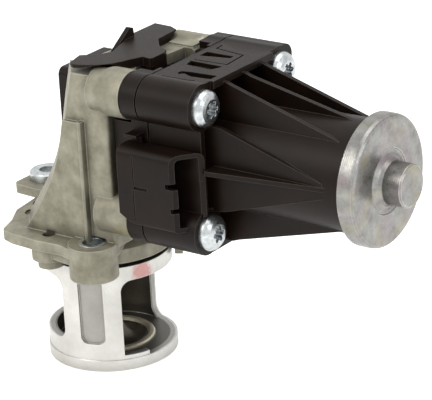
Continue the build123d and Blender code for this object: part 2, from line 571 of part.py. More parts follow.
def shaft_bushes():
    """Two sintered bushes in the casting's bearing boss."""
    first = tube_x(
        OUTPUT_AXIS, SHAFT_BUSH_RADIUS, OUTPUT_SHAFT_RADIUS + RUNNING, CRANK_WEB_X[1] + 0.7,
        CRANK_WEB_X[1] + 0.7 + SHAFT_BUSH_LENGTH,
    )
    end = MOUNT_FACE_X - 3 - SHAFT_SEAL_THICKNESS - 0.2
    second = tube_x(
        OUTPUT_AXIS, SHAFT_BUSH_RADIUS, OUTPUT_SHAFT_RADIUS + RUNNING, end - SHAFT_BUSH_LENGTH, end
    )
    return Compound([first, second])


def shaft_seal():
    """Seal at the gear end of the bearing boss."""
    end = MOUNT_FACE_X - 3
    return tube_x(
        OUTPUT_AXIS, SHAFT_BUSH_RADIUS, OUTPUT_SHAFT_RADIUS + RUNNING, end - SHAFT_SEAL_THICKNESS, end
    )


def return_spring():
    """Torsion spring round the bearing boss, which shuts the valve when the motor is off."""
    mean = BEARING_BOSS_RADIUS + SPRING_WIRE_RADIUS + 1.6
    start, end = SPRING_CHAMBER_X + 1.1, MOUNT_FACE_X - 3.6
    turns = Helix(pitch=2.3, height=end - start, radius=mean, direction=(1, 0, 0))
    section = Plane(origin=turns @ 0, z_dir=turns % 0) * Circle(SPRING_WIRE_RADIUS)
    coil = sweep(section, path=turns)
    return Pos(start, *OUTPUT_AXIS) * coil


# ---- Gears on their shafts ------------------------------------------------------------------------
def sector_gear():
    """Toothed sector that turns the output shaft."""
    towards = bearing_angle(OUTPUT_AXIS, AXLE_AXIS)
    pitch_angle = 360 / SECTOR_TEETH
    first = towards - (SECTOR_TEETH_BEFORE - 0.5) * pitch_angle
    count = SECTOR_TEETH_BEFORE + SECTOR_TEETH_AFTER
    wheel = gear_sketch(SECOND_MODULE, SECTOR_TEETH, -PROFILE_SHIFT, first, count)
    reach = SECOND_MODULE * SECTOR_TEETH
    start = math.radians(first - pitch_angle / 2)
    end = math.radians(first + (count - 0.5) * pitch_angle)
    corners = [
        (reach * math.cos(start + (end - start) * k / 4), reach * math.sin(start + (end - start) * k / 4))
        for k in range(5)
    ]
    wheel &= Polygon((0, 0), *corners, align=None)
    wheel += Circle(OUTPUT_SHAFT_RADIUS + 2.0)
    wheel -= Circle(OUTPUT_SHAFT_RADIUS + SEATED)
    return along_x(Pos(*OUTPUT_AXIS) * wheel, *SECTOR_X)


def sensor_magnet():
    """Magnet on the shaft's end, read by the position sensor."""
    start = SECTOR_X[1] + 0.8 + SEATED
    return rod_x(OUTPUT_AXIS, OUTPUT_SHAFT_RADIUS, start, start + 2.0)


def intermediate_gear():
    """Compound gear: a large wheel and a small pinion in one moulding."""
    to_motor = bearing_angle(AXLE_AXIS, MOTOR_AXIS)
    to_output = bearing_angle(AXLE_AXIS, OUTPUT_AXIS)
    wheel = gear_sketch(FIRST_MODULE, WHEEL_TEETH, -PROFILE_SHIFT, to_motor + 180 / WHEEL_TEETH)
    pinion = gear_sketch(SECOND_MODULE, SECOND_PINION_TEETH, PROFILE_SHIFT, to_output)
    bore = Pos(*AXLE_AXIS) * Circle(AXLE_RADIUS + RUNNING)
    gear = along_x(Pos(*AXLE_AXIS) * wheel - bore, WHEEL_X[0], WHEEL_X[1])
    return gear + along_x(Pos(*AXLE_AXIS) * pinion - bore, SECTOR_X[0] - 0.6, WHEEL_X[0])


def intermediate_axle():
    """Steel pin that the compound gear turns on."""
    return rod_x(AXLE_AXIS, AXLE_RADIUS, MOUNT_FACE_X + 1.0, BULKHEAD_X + 2.5)


def motor_pinion():
    """Steel pinion on the motor's shaft."""
    teeth = gear_sketch(FIRST_MODULE, PINION_TEETH, PROFILE_SHIFT, bearing_angle(MOTOR_AXIS, AXLE_AXIS))
    teeth -= Circle(MOTOR_SHAFT_RADIUS + SEATED)
    return along_x(Pos(*MOTOR_AXIS) * teeth, WHEEL_X[0] - 0.4, WHEEL_X[1] + 0.4)


# ---- Motor ----------------------------------------------------------------------------------------
def motor_shaft():
    """Rotor shaft, carried at both ends."""
    return rod_x(MOTOR_AXIS, MOTOR_SHAFT_RADIUS, WHEEL_X[0] - 0.6, CAP_BOSS_END_X - 3.2)


def armature_core():
    """Laminated rotor with winding slots."""
    section = Circle(ARMATURE_RADIUS) - Circle(MOTOR_SHAFT_RADIUS + SEATED)
    for index in range(5):
        section -= Rot(0, 0, 72 * index) * Pos(ARMATURE_RADIUS, 0) * Rectangle(3.0, 1.8)
        section -= Rot(0, 0, 72 * index) * Pos(ARMATURE_RADIUS - 4.2, 0) * Circle(2.4)
    return along_x(Pos(*MOTOR_AXIS) * section, *ARMATURE_X)


def armature_windings():
    """End turns of the copper windings, at both ends of the core."""
    turns = []
    spans = ((ARMATURE_X[0] - 4.5, ARMATURE_X[0] - SEATED), (ARMATURE_X[1] + SEATED, ARMATURE_X[1] + 4.5))
    for start, end in spans:
        ring = tube_x(MOTOR_AXIS, ARMATURE_RADIUS - 1.2, MOTOR_SHAFT_RADIUS + 1.6, start, end)
        turns.append(fillet(ring.edges().filter_by(GeomType.CIRCLE), 1.5))
    return Compound(turns)


def commutator():
    """Copper commutator."""
    return tube_x(MOTOR_AXIS, COMMUTATOR_RADIUS, MOTOR_SHAFT_RADIUS + SEATED, *COMMUTATOR_X)


def motor_can():
    """Drawn steel can that closes the magnets' field."""
    can = tube_x(MOTOR_AXIS, CAN_RADIUS, CAN_RADIUS - CAN_WALL, *CAN_X)
    return can + tube_x(MOTOR_AXIS, CAN_RADIUS, DRIVE_BEARING_RADIUS + 1, CAN_X[0], CAN_X[0] + CAN_WALL)


def field_magnets():
    """Two curved magnets inside the can."""
    outer = CAN_RADIUS - CAN_WALL - SEATED
    ring = Circle(outer) - Circle(outer - MAGNET_THICKNESS)
    gap = Rectangle(2 * CAN_RADIUS + 2, 9.0)
    return along_x(Pos(*MOTOR_AXIS) * (ring - gap), ARMATURE_X[0] - 2, ARMATURE_X[1] + 2)


def brush_plate():
    """Moulded plate that holds the brushes."""
    ring = Circle(CAN_RADIUS - CAN_WALL - SEATED) - Circle(COMMUTATOR_RADIUS + 1.2)
    ring -= Rectangle(2 * (CAN_RADIUS - CAN_WALL - 2.4), 4.0 + 2 * SEATED)
    return along_x(Pos(*MOTOR_AXIS) * ring, *BRUSH_PLATE_X)


def brushes():
    """Two carbon brushes, set against the commutator."""
    inner, outer = COMMUTATOR_RADIUS + RUNNING, COMMUTATOR_RADIUS + 6.0
    pieces = []
    for side in (-1, 1):
        brush = Pos(side * (inner + outer) / 2, 0) * Rectangle(outer - inner, 4.0)
        pieces.append(along_x(Pos(*MOTOR_AXIS) * brush, COMMUTATOR_X[0] + 1, COMMUTATOR_X[1] - 1))
    return Compound(pieces)


def drive_bearing():
    """Bush in the bulkhead, behind the pinion."""
    return tube_x(
        MOTOR_AXIS, DRIVE_BEARING_RADIUS, MOTOR_SHAFT_RADIUS + RUNNING, BULKHEAD_X + 0.4,
        BULKHEAD_X + 0.4 + BEARING_LENGTH,
    )


def end_bearing():
    """Bush in the end cap's boss."""
    start = CAP_END_X - 1.0
    bore = MOTOR_SHAFT_RADIUS + RUNNING
    return tube_x(MOTOR_AXIS, DRIVE_BEARING_RADIUS, bore, start, start + BEARING_LENGTH)


def end_cap():
    """Turned steel cap that closes the motor and carries its rear bearing."""
    inside_x = CAP_END_X - CAP_FACE
    can_pocket = CAN_RADIUS + SEATED
    pocket = DRIVE_BEARING_RADIUS + SEATED
    edge = 1.6
    return turned_x([
        (SLEEVE_END_X, can_pocket), (SLEEVE_END_X, CAP_RADIUS - 0.5), (SLEEVE_END_X + 0.5, CAP_RADIUS),
        (CAP_END_X - edge, CAP_RADIUS), (CAP_END_X - 0.45 * edge, CAP_RADIUS - 0.15 * edge),
        (CAP_END_X - 0.1 * edge, CAP_RADIUS - 0.55 * edge), (CAP_END_X, CAP_RADIUS - edge),
        (CAP_END_X, CAP_BOSS_RADIUS + 3.6), (CAP_END_X - 0.5, CAP_BOSS_RADIUS + 3.2),
        (CAP_END_X - 0.4, CAP_BOSS_RADIUS + 2.2), (CAP_END_X + 0.5, CAP_BOSS_RADIUS + 0.7),
        (CAP_END_X + 1.6, CAP_BOSS_RADIUS), (CAP_BOSS_END_X - 0.5, CAP_BOSS_RADIUS),
        (CAP_BOSS_END_X, CAP_BOSS_RADIUS - 0.5), (CAP_BOSS_END_X, 0), (CAP_BOSS_END_X - 2.4, 0),
        (CAP_BOSS_END_X - 2.4, pocket), (inside_x, pocket), (inside_x, can_pocket),
    ], MOTOR_AXIS)


# ---- Plastic case ---------------------------------------------------------------------------------
def case_outline(inset=0.0):
    """Outline of the gear case in Y and Z: a body with a round boss at each screw."""
    outline = slab(
        (CASE_LEFT_Y + inset, CASE_BOTTOM_Z + inset), (CASE_RIGHT_Y - inset, CASE_TOP_Z - inset), 4.0
    )
    for centre in SCREW_AXES:
        outline += Pos(*centre) * Circle(SCREW_BOSS_RADIUS - inset)
    return outline


def gear_space():
    """Outline of the space that the gears turn in."""
    wheel_reach = FIRST_MODULE * WHEEL_TEETH / 2 + 1.2
    wheel_y, wheel_z = AXLE_AXIS
    space = slab((-10.6, CASE_BOTTOM_Z + CASE_WALL), (14.8, CASE_TOP_Z - CASE_WALL - 3), 3.0)
    space += slab((CASE_LEFT_Y + CASE_WALL, MOTOR_Z - 10.6), (CASE_RIGHT_Y - CASE_WALL, MOTOR_Z + 12.6), 3.0)
    space += slab((-10.6, MOTOR_Z - 14.2), (19.4, MOTOR_Z + 11.4), 3.0)
    space += Pos(*OUTPUT_AXIS) * Circle(OUTPUT_SHAFT_RADIUS + 4.0)
    return space + Pos(wheel_y, wheel_z) * Circle(wheel_reach)


def gear_case():
    """Moulded plate between the casting and the motor housing."""
    case = along_x(case_outline(), MOUNT_FACE_X, CASE_JOINT_X)
    case -= along_x(gear_space(), MOUNT_FACE_X + CASE_FLOOR, CASE_JOINT_X + 1)
    case -= rod_x(OUTPUT_AXIS, OUTPUT_SHAFT_RADIUS + 0.4, MOUNT_FACE_X - 1, CASE_JOINT_X)
    case -= rod_x(AXLE_AXIS, AXLE_RADIUS + SEATED, MOUNT_FACE_X + 1.0, CASE_JOINT_X)
    boss_start = MOUNT_FACE_X + CASE_FLOOR - 0.5
    case += tube_x(AXLE_AXIS, AXLE_RADIUS + 1.2, AXLE_RADIUS + SEATED, boss_start, SECTOR_X[0] - 0.9)
    case -= block((MOUNT_FACE_X - 1, -10.5, CASE_TOP_Z - 4.2), (CASE_JOINT_X + 1, 14.5, CASE_TOP_Z + 1))
    for centre in SCREW_AXES:
        case -= rod_x(centre, SCREW_RADIUS + 0.2, MOUNT_FACE_X - 1, CASE_JOINT_X + 1)
    return case


def case_gasket():
    """Flat gasket between the gear case and the motor housing."""
    sheet = case_outline(0.7) - gear_space()
    for centre in SCREW_AXES:
        sheet -= Pos(*centre) * Circle(SCREW_RADIUS + 0.4)
    return along_x(sheet, CASE_JOINT_X, HOUSING_START_X)


def stiffening_webs():
    """Thin webs that run from the square gear case down onto the round motor sleeve."""
    root = HEAD_SEAT_X - 8
    webs = []
    for offset in (-WEB_PITCH, 0, WEB_PITCH):
        for side, wall_z in ((1, CASE_TOP_Z - 1.6), (-1, CASE_BOTTOM_Z + 1.2)):
            drop = math.sqrt((SLEEVE_RADIUS - 0.3) ** 2 - offset**2)
            end_z = MOTOR_Z + side * drop
            start_z = wall_z
            outline = Polygon(
                (root, MOTOR_Z), (root, start_z), (HEAD_SEAT_X + 2.0, start_z),
                (HEAD_SEAT_X + 4.5, start_z - side * 0.9), (WEB_END_X, end_z), (WEB_END_X, MOTOR_Z),
                align=None,
            )
            middle = MOTOR_Y + offset
            webs.append(along_y(outline, middle - WEB_THICKNESS / 2, middle + WEB_THICKNESS / 2))
    side_walls = ((-1, CASE_LEFT_Y - 1.2, CONNECTOR_FAR_X + 0.4), (1, CASE_RIGHT_Y - 1.6, root))
    for side, wall_y, start in side_walls:
        outline = Polygon(
            (start, MOTOR_Y), (start, wall_y), (HEAD_SEAT_X + 3.0, wall_y),
            (WEB_END_X - 1, MOTOR_Y + side * SLEEVE_RADIUS), (WEB_END_X - 1, MOTOR_Y), align=None,
        )
        webs.append(along_z(outline, MOTOR_Z + 0.4, MOTOR_Z + 0.4 + WEB_THICKNESS))
        tangent_y = MOTOR_Y + side * (SLEEVE_RADIUS - WEB_THICKNESS / 2)
        cheek = Polygon(
            (root, MOTOR_Z - 14.5), (root, MOTOR_Z + 15.5), (HEAD_SEAT_X + 4.5, MOTOR_Z + 14.6),
            (WEB_END_X - 2, MOTOR_Z + 3.0), (WEB_END_X - 2, MOTOR_Z - 2.0),
            (HEAD_SEAT_X + 4.5, MOTOR_Z - 13.0), align=None,
        )
        webs.append(along_y(cheek, tangent_y - WEB_THICKNESS / 2, tangent_y + WEB_THICKNESS / 2))
    return webs


def motor_housing():
    """Moulded housing: the gear case's other half, its bulkhead and the motor's sleeve."""
    housing = along_x(case_outline(), HOUSING_START_X, HEAD_SEAT_X)
    rim_pocket = slab(
        (CASE_LEFT_Y + CASE_WALL, CASE_BOTTOM_Z + CASE_WALL),
        (CASE_RIGHT_Y - CASE_WALL, CASE_TOP_Z - CASE_WALL - 0.6), 3.0,
    )
    for centre in SCREW_AXES:
        rim_pocket -= Pos(*centre) * Circle(SCREW_BOSS_RADIUS)
    housing -= along_x(rim_pocket, BULKHEAD_X + BULKHEAD_THICKNESS + 1.5, HEAD_SEAT_X + 1)
    housing += rod_x(MOTOR_AXIS, SLEEVE_RADIUS, BULKHEAD_X + BULKHEAD_THICKNESS, SLEEVE_END_X)
    for web in stiffening_webs():
        housing += web
    housing -= rod_x(MOTOR_AXIS, SLEEVE_RADIUS - SLEEVE_WALL, CAN_X[0] - SEATED, SLEEVE_END_X + 1)
    housing -= along_x(gear_space(), HOUSING_START_X - 1, BULKHEAD_X)
    housing -= rod_x(MOTOR_AXIS, DRIVE_BEARING_RADIUS + SEATED, BULKHEAD_X - 1, CAN_X[0] + 1)
    housing -= rod_x(AXLE_AXIS, AXLE_RADIUS + SEATED, BULKHEAD_X - 1, BULKHEAD_X + 2.6)
    for centre in SCREW_AXES:
        housing -= rod_x(centre, SCREW_RADIUS + 0.2, HOUSING_START_X - 1, HEAD_SEAT_X + 1)
    for start, end, middle, width in TOP_SLOTS:
        housing -= block(
            (MOUNT_FACE_X + start, middle - width / 2, CASE_TOP_Z - TOP_SLOT_DEPTH),
            (MOUNT_FACE_X + end, middle + width / 2, CASE_TOP_Z + 1),
        )
    return housing


def sensor_board():
    """Circuit board with the position sensor, on the bulkhead behind the magnet."""
    low = (BULKHEAD_X - 1.6, OUTPUT_Y - 5.0, OUTPUT_Z - 9.0)
    high = (BULKHEAD_X, OUTPUT_Y + 5.5, OUTPUT_Z + 4.6)
    chip_low = (BULKHEAD_X - 2.8, OUTPUT_Y - 2.5, OUTPUT_Z - 2.5)
    chip = block(chip_low, (BULKHEAD_X - 1.6, OUTPUT_Y + 2.5, OUTPUT_Z + 2.5))
    return block(low, high) + chip


def housing_screws():
    """Four pan-head screws with six-lobe recesses."""
    recess = Circle(1.9)
    for index in range(6):
        recess += Rot(0, 0, 60 * index) * Pos(2.1, 0) * Circle(0.72)
    screws = []
    for centre in SCREW_AXES:
        top = HEAD_SEAT_X + SCREW_HEAD_HEIGHT
        screw = turned_x([
            (TOWER_RIGHT_X, 0), (TOWER_RIGHT_X, SCREW_RADIUS - 0.5), (TOWER_RIGHT_X + 0.5, SCREW_RADIUS),
            (HEAD_SEAT_X, SCREW_RADIUS), (HEAD_SEAT_X, SCREW_HEAD_RADIUS),
            (HEAD_SEAT_X + 1.5, SCREW_HEAD_RADIUS), (HEAD_SEAT_X + 2.6, SCREW_HEAD_RADIUS - 0.45),
            (top - 0.4, SCREW_HEAD_RADIUS - 1.4),
            (top, SCREW_HEAD_RADIUS - 2.6), (top, 0),
        ], centre)
        screws.append(screw - along_x(Pos(*centre) * recess, top - 1.9, top + 1))
    return Compound(screws)


# ---- Connector ------------------------------------------------------------------------------------
def connector_prism(inset, start, overrun=0.0):
    """The connector's block, cut off at a slant; an overrun carries it past its own mouth."""
    (near, far), (low, high) = CONNECTOR_Y, CONNECTOR_Z
    section = slab((near + inset, low + inset), (far - inset, high - inset), max(0.5, 1.4 - inset / 2))
    prism = along_x(section, start, CONNECTOR_FAR_X + overrun)
    slant = Polygon(
        (CONNECTOR_NEAR_X + overrun, near), (CONNECTOR_FAR_X + overrun, far),
        (CONNECTOR_FAR_X + 40, far + 5),
        (CONNECTOR_FAR_X + 40, near - 5), (CONNECTOR_NEAR_X + overrun - 3.6, near - 5), align=None,
    )
    return prism - along_z(slant, low - 5, high + 5)


def connector_shroud():
    """Moulded plug housing at the side of the gear case."""
    (near, far), (low, high) = CONNECTOR_Y, CONNECTOR_Z
    shroud = connector_prism(0.0, MOUNT_FACE_X)
    ledge = block((MOUNT_FACE_X, near + 2.6, high - 1), (MOUNT_FACE_X + 5.0, far, high + 2.2))
    skirt_top = (low + high) / 2 - 0.6
    skirt = block((CASE_JOINT_X, near - 0.5, low), (CONNECTOR_NEAR_X - 7.5, near + 1, skirt_top))
    shroud += ledge + skirt
    shroud -= connector_prism(CONNECTOR_WALL, CONNECTOR_FLOOR_X, 12.0)
    shroud -= along_x(case_outline(-SEATED), MOUNT_FACE_X - 1, HEAD_SEAT_X)
    for centre in SCREW_AXES:
        shroud -= rod_x(centre, SCREW_HEAD_RADIUS + SOFT_GAP, HEAD_SEAT_X - SEATED, HEAD_SEAT_X + 10)
    for step in range(TERMINAL_COUNT):
        shroud -= block(*terminal_corners(step, SEATED))
    return shroud


def terminal_corners(step, margin=0.0):
    """Low and high corners of one blade terminal."""
    (near, far), (low, high) = CONNECTOR_Y, CONNECTOR_Z
    pitch = (high - low - 10.0) / (TERMINAL_COUNT - 1)
    middle_y, middle_z = (near + far) / 2, low + 6.0 + pitch * step
    return (
        (CONNECTOR_FLOOR_X - 4.0 - margin, middle_y - 0.4 - margin, middle_z - 1.1 - margin),
        (CONNECTOR_FLOOR_X + 6.0 + margin, middle_y + 0.4 + margin, middle_z + 1.1 + margin),
    )


def connector_terminals():
    """Blade terminals in the connector."""
    return Compound([block(*terminal_corners(step)) for step in range(TERMINAL_COUNT)])


# ---- Covers ---------------------------------------------------------------------------------------
def top_cover():
    """Moulded three-armed cover over the casting's crown."""
    thickness = 3.0
    outline = Polygon(
        (5.2, -20.9), (16.8, -19.6), (20.6, -14.4), (23.2, -8.2), (28.2, -7.2), (28.2, 3.6), (19.6, 9.6),
        (18.2, 22.6), (14.6, 25.0), (6.6, 25.4), (7.2, 10.2), (11.8, -3.6), (9.4, -10.2), (4.6, -13.4),
        align=None,
    )
    outline = fillet(outline.vertices(), 0.8)
    cover = along_z(outline, HEAD_TOP_Z, HEAD_TOP_Z + thickness)
    fin = Polygon(
        (-2.6, HEAD_TOP_Z), (9.6, HEAD_TOP_Z), (8.8, HEAD_TOP_Z + 5.8), (7.2, HEAD_TOP_Z + 6.4), align=None,
    )
    cover += along_x(fin, 7.4, 9.2)
    for centre in SCREW_AXES:
        cover -= rod_x(centre, SCREW_BOSS_RADIUS - 0.4 + SOFT_GAP, TOWER_RIGHT_X - 7, MOUNT_FACE_X + 1)
    return cover


def rear_cover():
    """Moulded lid over the linkage chamber."""
    low, high = CRANK_CHAMBER
    outline = slab((low[1] + 5.4, low[2] - 2.4), (high[1] + 3.0, HEAD_STEP_Z + 0.4), 2.5)
    lid = along_x(outline, HEAD_REAR_X - 3.4, HEAD_REAR_X)
    spigot = slab((low[1] + 7.4, low[2] + 0.3), (high[1] - 0.3, high[2] - 0.3), 1.0)
    return lid + along_x(spigot, HEAD_REAR_X - 0.1, HEAD_REAR_X + 1.6)


# ---- Write one file per piece ---------------------------------------------------------------------
PIECES = {
    "valve_cage": valve_cage, "valve_seat": valve_seat, "cage_seal": cage_seal, "poppet_valve": poppet_valve,
    "stem_yoke": stem_yoke, "stem_guide": stem_guide, "stem_seal": stem_seal, "soot_shield": soot_shield,
    "valve_body": valve_body, "flange_bush": flange_bush, "rear_lug_bush": rear_lug_bush,
    "output_shaft": output_shaft, "crank_lever": crank_lever, "crank_roller": crank_roller,
    "shaft_bushes": shaft_bushes, "shaft_seal": shaft_seal, "return_spring": return_spring,
    "sector_gear": sector_gear, "sensor_magnet": sensor_magnet, "intermediate_gear": intermediate_gear,
    "intermediate_axle": intermediate_axle, "motor_pinion": motor_pinion, "motor_shaft": motor_shaft,
    "armature_core": armature_core, "armature_windings": armature_windings, "commutator": commutator,
    "motor_can": motor_can, "field_magnets": field_magnets, "brush_plate": brush_plate, "brushes": brushes,
    "drive_bearing": drive_bearing, "end_bearing": end_bearing, "end_cap": end_cap, "gear_case": gear_case,
    "case_gasket": case_gasket, "motor_housing": motor_housing, "sensor_board": sensor_board,
    "housing_screws": housing_screws, "connector_shroud": connector_shroud,
    "connector_terminals": connector_terminals, "top_cover": top_cover, "rear_cover": rear_cover,
}

os.makedirs("parts", exist_ok=True)
for name, build in PIECES.items():
    export_step(build(), f"parts/{name}.step")
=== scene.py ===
"""Looks of an electric exhaust gas recirculation valve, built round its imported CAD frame.

Everything stands in the CAD's own frame: +Z runs up the valve stem, +X along the motor towards its end cap. Sizes
are in millimetres and turn into metres by the MM factor; only the studio's are in metres.
"""

import logging
import math
from dataclasses import dataclass, field
from enum import Enum

import bmesh
import bpy
from mathutils import Matrix, Vector

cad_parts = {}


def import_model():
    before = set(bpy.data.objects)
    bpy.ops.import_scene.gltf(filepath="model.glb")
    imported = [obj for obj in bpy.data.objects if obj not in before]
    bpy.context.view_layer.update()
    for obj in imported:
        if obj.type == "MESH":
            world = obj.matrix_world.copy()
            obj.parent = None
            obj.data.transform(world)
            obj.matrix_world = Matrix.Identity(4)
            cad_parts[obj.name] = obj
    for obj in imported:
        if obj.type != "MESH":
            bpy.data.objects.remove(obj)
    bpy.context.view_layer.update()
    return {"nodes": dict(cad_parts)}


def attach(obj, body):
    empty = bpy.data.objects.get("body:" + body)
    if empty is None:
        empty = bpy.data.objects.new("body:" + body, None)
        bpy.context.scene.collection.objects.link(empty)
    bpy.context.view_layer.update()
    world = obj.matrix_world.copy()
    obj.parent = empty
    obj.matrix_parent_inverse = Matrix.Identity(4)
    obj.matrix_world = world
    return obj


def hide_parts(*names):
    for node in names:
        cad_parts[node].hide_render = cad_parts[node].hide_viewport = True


LOG = logging.getLogger("egr_valve")
MM = 0.001

WELD = 1e-6  # points nearer than this are one

Pair = tuple[float, float]
Point = tuple[float, float, float]
Outline = tuple[Pair, ...]
Tree = bpy.types.NodeTree
Socket = bpy.types.NodeSocket
Piece = bpy.types.Object

# Where patterns start and are full, on the scale that each is measured on.
MOTTLE_SPREAD: Pair = (0.32, 0.68)  # noise that becomes the darker and the lighter tone
GRAIN_SPREAD: Pair = (0.3, 0.7)  # noise that becomes the glossiest and the dullest grain
EDGE_AGREEMENT: Pair = (0.985, 0.86)  # cosine between the flat and the rounded normal
OPEN_SHARE: Pair = (0.95, 0.35)  # share of the surroundings that a point sees
CLOUD_SPREAD: Pair = (0.5, 0.75)  # noise at a cloud's edge and in its middle
DAB_EDGE: Pair = (1.1, 0.8)  # shares of a dab's radius
DAB_RAGS = 2.5  # rags in a dab's radius
LOWEST_ROUGHNESS = 0.03
# samples for the edges painted lighter and for the painted shade in corners
EDGE_AND_SHADE_SAMPLES = 6
ROUNDING_SAMPLES = 4

# How finely curves are made.
TURN_STEPS = 96  # facets round a turned solid
SECTOR_STEPS = 4  # facets along part of a ring
ROUND_STEPS = 5  # facets in a rounded corner
BEVEL_SEGMENTS = 2
CREASE_DEG = 30.0  # an edge sharper than this stays an edge
FLAT_DEG = 88.0  # half the angle above which a corner is too flat to round
OVERRUN = 1.0  # how far a tool runs past the face that it cuts

SCREW_PLACES: Outline = ((-18.8, 59.1), (-18.8, 100.1), (23.0, 59.1), (23.0, 100.1))  # Y and Z, in millimetres


# ---- Colour and node helpers ----
def linear(code: str) -> tuple[float, float, float, float]:
    """Turns an sRGB hex colour into linear light.

    Args:
        code: The colour as six hex digits, such as "8f8a78".

    Returns:
        The linear red, green and blue with an alpha of 1.
    """
    channels = [int(code[i : i + 2], 16) / 255 for i in (0, 2, 4)]
    light = [c / 12.92 if c <= 0.04045 else ((c + 0.055) / 1.055) ** 2.4 for c in channels]
    return (light[0], light[1], light[2], 1.0)


def add_node(tree: Tree, kind: str, settings: dict | None = None, **inputs: object) -> bpy.types.Node:
    """Adds one node, with its settings and what goes into its inputs.

    Args:
        tree: The node tree that gets the node.
        kind: The node's type, such as "ShaderNodeMath".
        settings: Attributes to set on the node itself.
        **inputs: Values or output sockets, keyed by input name with spaces as underscores, or i0, i1 by index.

    Returns:
        The new node.
    """
    node = tree.nodes.new(kind)
    for name, value in (settings or {}).items():
        setattr(node, name, value)
    for name, value in inputs.items():
        by_index = name[0] == "i" and name[1:].isdigit()
        socket = node.inputs[int(name[1:]) if by_index else name.replace("_", " ")]
        if isinstance(value, bpy.types.NodeSocket):
            tree.links.new(value, socket)
        else:
            socket.default_value = value
    return node


def combined(tree: Tree, operation: str, first: Socket, second: Socket | float) -> Socket:
    """Two numbers taken together by one operation, such as "ADD"."""
    return add_node(tree, "ShaderNodeMath", {"operation": operation}, i0=first, i1=second).outputs[0]


def remapped(tree: Tree, value: Socket, source: Pair, target: Pair = (0.0, 1.0)) -> Socket:
    """A value moved from one range, which may run either way, onto another and held inside it."""
    ends = {"From_Min": source[0], "From_Max": source[1], "To_Min": target[0], "To_Max": target[1]}
    return add_node(tree, "ShaderNodeMapRange", i0=value, **ends).outputs[0]


def noise(tree: Tree, place: Socket, size_mm: float, settings: dict | None = None, **inputs: object) -> Socket:
    """Noise over the surface with features of one size, from 0 to 1."""
    node = add_node(tree, "ShaderNodeTexNoise", settings, Vector=place, Scale=1 / (size_mm * MM), **inputs)
    return node.outputs["Fac"]


class Axis(Enum):
    """The axis that a turned surface was turned about."""

    STEM = "Z"
    MOTOR = "X"


